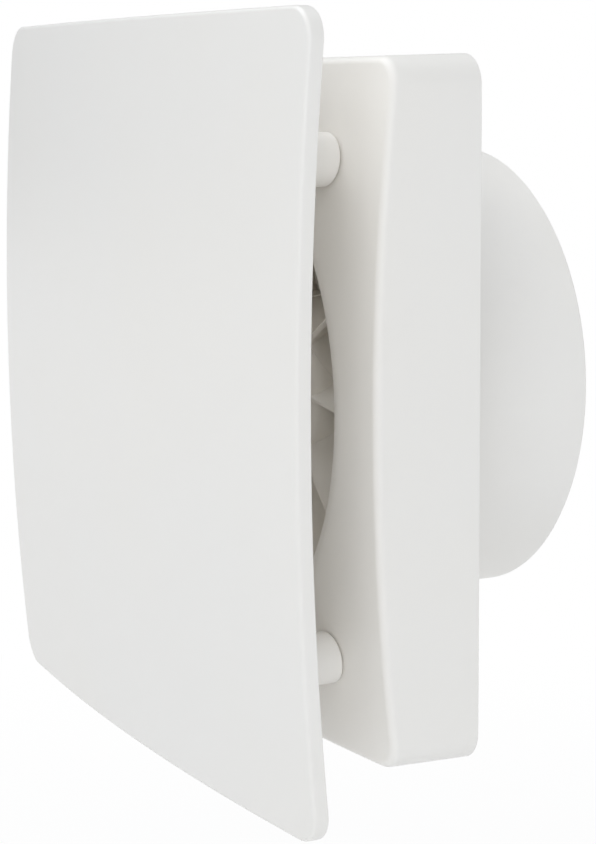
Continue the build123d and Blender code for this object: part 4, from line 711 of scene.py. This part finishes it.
def make_mould_grain():
    """Height and roughness of a moulded surface."""
    inputs = {"Place": None, "Grain per metre": 3500.0, "Roughness": 0.4, "Swing": 0.08}
    tree, given, out = new_group("mould grain", inputs, {"Height": "Float", "Roughness": "Float"})
    fine = put(tree, "ShaderNodeTexNoise", Vector=given["Place"], Scale=given["Grain per metre"], Detail=2.0)
    broad = put(tree, "ShaderNodeTexNoise", Vector=given["Place"], Scale=160.0, Detail=4.0, Roughness=0.6)
    height = maths(tree, "ADD", fine.outputs["Fac"], maths(tree, "MULTIPLY", broad.outputs["Fac"], 0.5))
    tree.links.new(height, out["Height"])
    sway = maths(tree, "SUBTRACT", broad.outputs["Fac"], 0.5)
    rough = maths(tree, "ADD", given["Roughness"], maths(tree, "MULTIPLY", sway, given["Swing"]))
    tree.links.new(rough, out["Roughness"])
    return tree


mould_grain = make_mould_grain()

# %% [markdown]
# **Tone drift** keeps a large plain surface from looking like one flat colour: the pigment is a
# touch warmer in some places than in others. **Dust film** is the grey bloom that a fan in use
# gathers: more on surfaces that face upwards, in patches and specks.

# %% Groups: tone drift and dust film


def make_tone_drift():
    """Colour that wanders slowly between two close tones."""
    inputs = {"Place": None, "Tone": (0.8, 0.8, 0.8, 1.0), "Other tone": (0.8, 0.8, 0.8, 1.0),
              "Patches per metre": 14.0}
    tree, given, out = new_group("tone drift", inputs, {"Colour": "Color"})
    noise = put(tree, "ShaderNodeTexNoise", Vector=given["Place"], Scale=given["Patches per metre"],
                Detail=3.0)
    share = spread(tree, noise.outputs["Fac"], 0.3, 0.7)
    tree.links.new(blend_colour(tree, share, given["Tone"], given["Other tone"]), out["Colour"])
    return tree


def make_dust_film():
    """Colour with dust on it, and the dust's mask."""
    inputs = {"Place": None, "Facing": None, "Clean colour": (0.8, 0.8, 0.8, 1.0),
              "Dust colour": (0.5, 0.47, 0.43, 1.0), "Amount": 0.2}
    tree, given, out = new_group("dust film", inputs, {"Colour": "Color", "Mask": "Float"})
    up = put(tree, "ShaderNodeSeparateXYZ", Vector=given["Facing"]).outputs["Z"]
    lies = spread(tree, up, -0.4, 0.9, 0.25, 1.0)
    cloud = put(tree, "ShaderNodeTexNoise", Vector=given["Place"], Scale=55.0, Detail=6.0, Roughness=0.65)
    specks = put(tree, "ShaderNodeTexVoronoi", Vector=given["Place"], Scale=900.0)
    patch = spread(tree, cloud.outputs["Fac"], 0.35, 0.75)
    dots = spread(tree, specks.outputs["Distance"], 0.22, 0.08)
    film = maths(tree, "ADD", maths(tree, "MULTIPLY", patch, 0.75), maths(tree, "MULTIPLY", dots, 0.35))
    mask = maths(tree, "MULTIPLY", maths(tree, "MULTIPLY", film, lies), given["Amount"])
    tree.links.new(mask, out["Mask"])
    tree.links.new(blend_colour(tree, mask, given["Clean colour"], given["Dust colour"]), out["Colour"])
    return tree


tone_drift = make_tone_drift()
dust_film = make_dust_film()

# %% [markdown]
# **Drawn streaks** are the fine lines that turning, drawing or brushing leaves on metal. A noise that
# is stretched along one direction gives both the lines' height and their duller or brighter shine.

# %% Group: drawn streaks


def make_drawn_streaks():
    """Height and roughness of a metal with lines along one direction."""
    inputs = {"Place": None, "Stretch": None, "Roughness": 0.3, "Swing": 0.2}
    tree, given, out = new_group("drawn streaks", inputs, {"Height": "Float", "Roughness": "Float"})
    place = put(tree, "ShaderNodeVectorMath", {"operation": "MULTIPLY"}, _0=given["Place"],
                _1=given["Stretch"])
    lines = put(tree, "ShaderNodeTexNoise", Vector=place.outputs[0], Scale=1.0, Detail=5.0, Roughness=0.7)
    tree.links.new(lines.outputs["Fac"], out["Height"])
    sway = maths(tree, "MULTIPLY", maths(tree, "SUBTRACT", lines.outputs["Fac"], 0.5), given["Swing"])
    tree.links.new(maths(tree, "ADD", given["Roughness"], sway), out["Roughness"])
    return tree


drawn_streaks = make_drawn_streaks()

# %% [markdown]
# Each material is a Principled shader fed by those groups. What is the same all over, such as the
# gloss of the plastic, is set on the shader itself.

# %% Material helpers
SOFT_DEPTH = 0.004
PLASTIC_IOR = 1.5
DUST_DULLS = 0.5
METAL_DUST = 0.05
LAYER_DUST = 0.05


def rgba(colour):
    """Colour with full alpha."""
    return (*colour, 1.0)


def place_group(tree, group, **wires):
    """A group node with its wires; an underscore in a name stands for a space."""
    return put(tree, "ShaderNodeGroup", {"node_tree": group}, **wires)


def start_material(name, constants):
    """Material with a Principled shader, its constants set, and the coordinates node."""
    material = bpy.data.materials.new(name)
    material.use_nodes = True
    tree = material.node_tree
    tree.nodes.clear()
    shader = tree.nodes.new("ShaderNodeBsdfPrincipled")
    for label, value in constants.items():
        shader.inputs[label].default_value = value
    output = tree.nodes.new("ShaderNodeOutputMaterial")
    tree.links.new(shader.outputs["BSDF"], output.inputs["Surface"])
    return material, tree, shader, tree.nodes.new("ShaderNodeTexCoord").outputs


def feed(tree, shader, colour, roughness, height, relief):
    """Wires colour, roughness and bump into the shader; relief is the bump's height in metres."""
    tree.links.new(colour, shader.inputs["Base Color"])
    tree.links.new(roughness, shader.inputs["Roughness"])
    bump = put(tree, "ShaderNodeBump", Height=height, Distance=relief, Strength=1.0)
    tree.links.new(bump.outputs["Normal"], shader.inputs["Normal"])


def weathered(tree, coords, tone, other, dust, rough, **patches):
    """Drifting colour under a film of dust, and a roughness that the dust adds to."""
    drifted = place_group(tree, tone_drift, Place=coords["Object"], Tone=rgba(tone),
                          Other_tone=rgba(other), **patches)
    dusty = place_group(tree, dust_film, Place=coords["Object"], Facing=coords["Normal"],
                        Clean_colour=drifted.outputs["Colour"], Amount=dust)
    dull = maths(tree, "ADD", rough, maths(tree, "MULTIPLY", dusty.outputs["Mask"], DUST_DULLS))
    return dusty.outputs["Colour"], dull


def plastic(name, tone, other, rough, grain=3500.0, relief=4e-6, dust=0.08, soft=0.0):
    """Moulded plastic: mould grain, tone drift and a film of dust."""
    constants = {"IOR": PLASTIC_IOR, "Subsurface Weight": soft, "Subsurface Radius": (1.0, 0.82, 0.62),
                 "Subsurface Scale": SOFT_DEPTH}
    material, tree, shader, coords = start_material(name, constants)
    grained = place_group(tree, mould_grain, Place=coords["Object"], Grain_per_metre=grain,
                          Roughness=rough, Swing=0.1)
    colour, dull = weathered(tree, coords, tone, other, dust, grained.outputs["Roughness"])
    feed(tree, shader, colour, dull, grained.outputs["Height"], relief)
    return material


def metal(name, tone, other, rough, stretch, relief=3e-6):
    """Bare or plated metal with drawn streaks and a little tarnish in patches."""
    material, tree, shader, coords = start_material(name, {"Metallic": 1.0})
    lines = place_group(tree, drawn_streaks, Place=coords["Object"], Stretch=stretch, Roughness=rough,
                        Swing=0.25)
    colour, dull = weathered(tree, coords, tone, other, METAL_DUST, lines.outputs["Roughness"],
                             Patches_per_metre=260.0)
    feed(tree, shader, colour, dull, lines.outputs["Height"], relief)
    return material


def layered(name, tone, other, rough, direction, per_metre, relief, shine=0.0):
    """Something made of many thin layers along one direction: stacked sheets, or wound tape."""
    material, tree, shader, coords = start_material(name, {"Metallic": shine})
    where = coords["Object"]
    bands = put(tree, "ShaderNodeTexWave", {"wave_type": "BANDS", "bands_direction": direction},
                Vector=where, Scale=per_metre * math.pi / 10, Distortion=0.6, Detail=2.0)
    grained = place_group(tree, mould_grain, Place=where, Grain_per_metre=2500.0, Roughness=rough,
                          Swing=0.2)
    mixed = blend_colour(tree, spread(tree, bands.outputs["Fac"], 0.1, 0.6), rgba(other), rgba(tone))
    dusty = place_group(tree, dust_film, Place=where, Facing=coords["Normal"], Clean_colour=mixed,
                        Amount=LAYER_DUST)
    grain_share = maths(tree, "MULTIPLY", grained.outputs["Height"], 0.1)
    height = maths(tree, "ADD", bands.outputs["Fac"], grain_share)
    feed(tree, shader, dusty.outputs["Colour"], grained.outputs["Roughness"], height, relief)
    return material


# %% [markdown]
# The shell is one white ABS in three finishes: the tile is the smoothest, the cover has a fine
# texture, and the parts that stay in the wall come as the mould left them. The pigment leans
# slightly to cream, which shows only where light bounces between two white walls.

# %% White plastics
WHITE = (0.880, 0.860, 0.826)
WHITE_WARM = (0.884, 0.860, 0.818)
CREAM = (0.885, 0.845, 0.780)
finishes = {
    "panel_abs": plastic("satin white tile", WHITE, WHITE_WARM, 0.36, relief=2.5e-6, dust=0.02),
    "housing_abs": plastic("fine-textured white cover", WHITE, WHITE_WARM, 0.44, relief=4e-6, dust=0.03),
    "duct_abs": plastic("plain white duct", WHITE, WHITE_WARM, 0.46, relief=4e-6, dust=0.07),
    "impeller_plastic": plastic("white impeller", CREAM, WHITE_WARM, 0.42, relief=3e-6, dust=0.16),
    "flap_plastic": plastic("thin white flap", WHITE, WHITE_WARM, 0.40, relief=3e-6, dust=0.12),
    "bobbin_nylon": plastic("natural nylon", (0.78, 0.75, 0.66), (0.74, 0.71, 0.60), 0.38, dust=0.05,
                            soft=0.15),
    "terminal_nylon": plastic("terminal nylon", (0.82, 0.80, 0.74), (0.80, 0.77, 0.69), 0.35, dust=0.05,
                              soft=0.1),
    "lead_blue": plastic("blue lead insulation", (0.035, 0.11, 0.36), (0.03, 0.09, 0.30), 0.32, dust=0.08),
    "rubber_black": plastic("black rubber", (0.022, 0.022, 0.023), (0.03, 0.03, 0.03), 0.72, 1800.0, 8e-6,
                            0.12),
    "rubber_grey": plastic("grey rubber", (0.21, 0.21, 0.215), (0.25, 0.25, 0.25), 0.68, 1800.0, 8e-6, 0.12),
}
print(len(finishes), "plastic and rubber finishes")

# %% [markdown]
# The metal pieces differ in how they were made: screws and pins are drawn and plated, the brackets
# and the rotor's cage are cast, the bushes are sintered, and the two cores are stacks of thin sheets.

# %% Metals, stacked sheets and winding
finishes.update({
    "zinc_screw": metal("zinc-plated steel", (0.58, 0.59, 0.61), (0.50, 0.50, 0.50), 0.30, (900, 4200, 900)),
    "steel_bright": metal("ground steel", (0.60, 0.60, 0.61), (0.52, 0.52, 0.53), 0.20, (2500, 2500, 250)),
    "spring_steel": metal("spring wire", (0.42, 0.42, 0.43), (0.34, 0.33, 0.33), 0.28,
                          (1500, 1500, 1500)),
    "bracket_zinc": metal("die-cast zinc", (0.46, 0.47, 0.48), (0.38, 0.38, 0.39), 0.46,
                          (1200, 1200, 1200), 8e-6),
    "cage_aluminium": metal("die-cast aluminium", (0.66, 0.67, 0.68), (0.56, 0.57, 0.58), 0.42,
                            (1300, 1300, 1300), 8e-6),
    "bronze": metal("sintered bronze", (0.45, 0.27, 0.12), (0.36, 0.21, 0.10), 0.55,
                    (3500, 3500, 3500), 10e-6),
    "brass": metal("turned brass", (0.66, 0.47, 0.18), (0.56, 0.40, 0.16), 0.28, (300, 3200, 3200)),
    "copper": metal("drawn copper", (0.72, 0.30, 0.16), (0.55, 0.22, 0.12), 0.32, (1400, 300, 1400)),
    "lamination": layered("stacked core sheets", (0.17, 0.17, 0.18), (0.07, 0.065, 0.06), 0.45,
                          "Y", 2000.0, 2e-5, 0.9),
    "winding_tape": layered("wound yellow tape", (0.62, 0.42, 0.05), (0.45, 0.28, 0.03), 0.35,
                            "X", 320.0, 3e-5),
})
print(len(finishes), "finishes in all")

# %% [markdown]
# Every CAD piece takes the finish that its row in the record names, and each piece made here is
# given its finish one by one in a table.

# %% Give every piece its finish
node_slots = {part["node"]: part["material_slot"] for part in record["subparts"]}


def finish_with(thing, slot):
    """Leaves one material on a piece."""
    thing.data.materials.clear()
    thing.data.materials.append(finishes[slot])


for name, slot in node_slots.items():
    finish_with(nodes[name], slot)
made_pieces = {front_tile: "panel_abs", posts: "panel_abs", cover: "housing_abs",
               rotor_blades: "impeller_plastic"}
for thing, slot in made_pieces.items():
    finish_with(thing, slot)
    weighted = thing.modifiers.new("even shading", "WEIGHTED_NORMAL")
    weighted.keep_sharp = True
    weighted.weight = 80
print(len(node_slots), "CAD pieces and", len(made_pieces), "made pieces have a finish")

# %% [markdown]
# ## Stage, light and camera
# The fan hangs in a plain white studio. The floor and the world are white to the camera, but to the
# plastic they are only a soft grey surround, so the white shell still shows its form. Mirror rays see
# the floor white too, but the world only as soft grey. Wide lamps from above reach down into the gap
# behind the tile, and weaker ones light the right side and the back.

# %% Floor and world
FLOOR_DROP = 0.16
FLOOR_HALF = 6.0
SHADOW_REACH = (0.30, 0.70)
FLOOR_WHITE = (0.90, 1.0)
WORLD_LEVEL = 0.37
COOL = (0.945, 0.970, 1.0)
low_z = cad_box[0][2]


def white_to_camera(tree, soft_output, brightness, kept):
    """Mixes plain white emission into a shader for camera, mirror and glass rays only."""
    path = tree.nodes.new("ShaderNodeLightPath").outputs
    seen = maths(tree, "MAXIMUM", path["Is Camera Ray"], path["Is Glossy Ray"])
    seen = maths(tree, "MAXIMUM", seen, path["Is Transmission Ray"])
    share = maths(tree, "MULTIPLY", seen, kept)
    white = put(tree, "ShaderNodeEmission", Color=rgba((1.0, 1.0, 1.0)), Strength=brightness)
    mixed = put(tree, "ShaderNodeMixShader", _0=share, _1=soft_output, _2=white.outputs[0])
    return mixed.outputs[0]


def make_floor():
    """Plain pale floor well below the fan: it keeps the shadow under the fan and is white further out."""
    points = [(-FLOOR_HALF, -FLOOR_HALF), (FLOOR_HALF, -FLOOR_HALF), (FLOOR_HALF, FLOOR_HALF),
              (-FLOOR_HALF, FLOOR_HALF)]
    mesh = bpy.data.meshes.new("studio_floor")
    mesh.from_pydata([(x, y, low_z - FLOOR_DROP) for x, y in points], [], [(0, 1, 2, 3)])
    floor = bpy.data.objects.new("studio_floor", mesh)
    bpy.context.scene.collection.objects.link(floor)
    material = bpy.data.materials.new("pale floor")
    material.use_nodes = True
    tree = material.node_tree
    tree.nodes.clear()
    place = tree.nodes.new("ShaderNodeTexCoord").outputs["Object"]
    far = put(tree, "ShaderNodeVectorMath", {"operation": "LENGTH"}, _0=place).outputs["Value"]
    plain = put(tree, "ShaderNodeBsdfDiffuse", Color=rgba((0.9, 0.9, 0.9)))
    output = tree.nodes.new("ShaderNodeOutputMaterial")
    whitened = white_to_camera(tree, plain.outputs[0], 1.0, spread(tree, far, *SHADOW_REACH, *FLOOR_WHITE))
    tree.links.new(whitened, output.inputs["Surface"])
    mesh.materials.append(material)


def make_world(level, tint):
    """World that is white to camera and glass rays, and lights the fan softly from everywhere."""
    world = bpy.data.worlds.new("studio")
    world.use_nodes = True
    tree = world.node_tree
    tree.nodes.clear()
    soft = put(tree, "ShaderNodeBackground", Color=rgba(tint), Strength=level)
    output = tree.nodes.new("ShaderNodeOutputWorld")
    path = tree.nodes.new("ShaderNodeLightPath").outputs
    seen = maths(tree, "MAXIMUM", path["Is Camera Ray"], path["Is Transmission Ray"])
    white = put(tree, "ShaderNodeBackground", Color=rgba((1.0, 1.0, 1.0)), Strength=1.0)
    mixed = put(tree, "ShaderNodeMixShader", _0=seen, _1=soft.outputs[0], _2=white.outputs[0])
    tree.links.new(mixed.outputs[0], output.inputs["Surface"])
    bpy.context.scene.world = world


make_floor()
make_world(WORLD_LEVEL, COOL)

# %% [markdown]
# A lamp is easier to balance by how much light it lays on the fan than by its watts. A square lamp of
# W watts at distance d lights a white surface that faces it as W / (pi d) squared, so the watts follow
# from a level, where 1 shows a colour as it is written. A level counts in full only where a surface
# faces its lamp. With the world's own level they add up to about 0.8 on the front and the right side,
# and to about 1.1 on top.

# %% Lamps
LAMP_DISTANCE = 1.4
LAMP_SIZE = 1.0


def lamp(name, way, level):
    """Square soft lamp in a direction from the fan's middle, facing it."""
    place = Vector(way).normalized() * LAMP_DISTANCE
    light = bpy.data.lights.new(name, "AREA")
    light.shape = "SQUARE"
    light.size = LAMP_SIZE
    light.energy = (math.pi * LAMP_DISTANCE) ** 2 * level
    light.color = COOL
    holder = bpy.data.objects.new(name, light)
    holder.location = place
    holder.rotation_euler = (-place).to_track_quat("-Z", "Y").to_euler()
    bpy.context.scene.collection.objects.link(holder)
    print(name, "lamp", round(light.energy, 1), "W")


lamp("overhead", (0.0, 0.0, 1.0), 0.07)
lamp("upper_left", (-0.40, -0.40, 0.85), 0.53)
lamp("upper_right", (0.75, -0.52, 0.40), 0.36)
lamp("right", (0.94, -0.34, 0.10), 0.08)
lamp("behind", (0.20, 1.0, 0.35), 0.25)

# %% [markdown]
# The camera is given by where it stands, where it looks and its lens, and turned by a small roll.
# A view direction from two angles is easier to read than a rotation matrix: yaw turns about the
# vertical from +Y towards -X, pitch tips up.

# %% Camera
CAMERA_AT = (0.416295, -0.216164, 0.063872)
CAMERA_YAW = 63.019
CAMERA_PITCH = -9.005
CAMERA_ROLL = -0.456
CAMERA_LENS = 90.71
DIFFUSE_BOUNCES = 8


def make_camera():
    """Camera whose axes come from yaw, pitch and roll."""
    yaw, pitch, roll = (math.radians(angle) for angle in (CAMERA_YAW, CAMERA_PITCH, CAMERA_ROLL))
    ahead = Vector((-math.sin(yaw) * math.cos(pitch), math.cos(yaw) * math.cos(pitch), math.sin(pitch)))
    right = Vector((math.cos(yaw), math.sin(yaw), 0.0))
    up = right.cross(ahead)
    right, up = right * math.cos(roll) + up * math.sin(roll), up * math.cos(roll) - right * math.sin(roll)
    turn = Matrix((right, up, -ahead)).transposed().to_4x4()
    data = bpy.data.cameras.new("camera")
    data.lens = CAMERA_LENS
    data.sensor_width = 36.0
    data.clip_start = 0.01
    camera = bpy.data.objects.new("camera", data)
    camera.matrix_world = Matrix.Translation(CAMERA_AT) @ turn
    bpy.context.scene.collection.objects.link(camera)
    bpy.context.scene.camera = camera


make_camera()
bpy.context.scene.view_settings.view_transform = "Standard"
bpy.context.scene.cycles.diffuse_bounces = DIFFUSE_BOUNCES
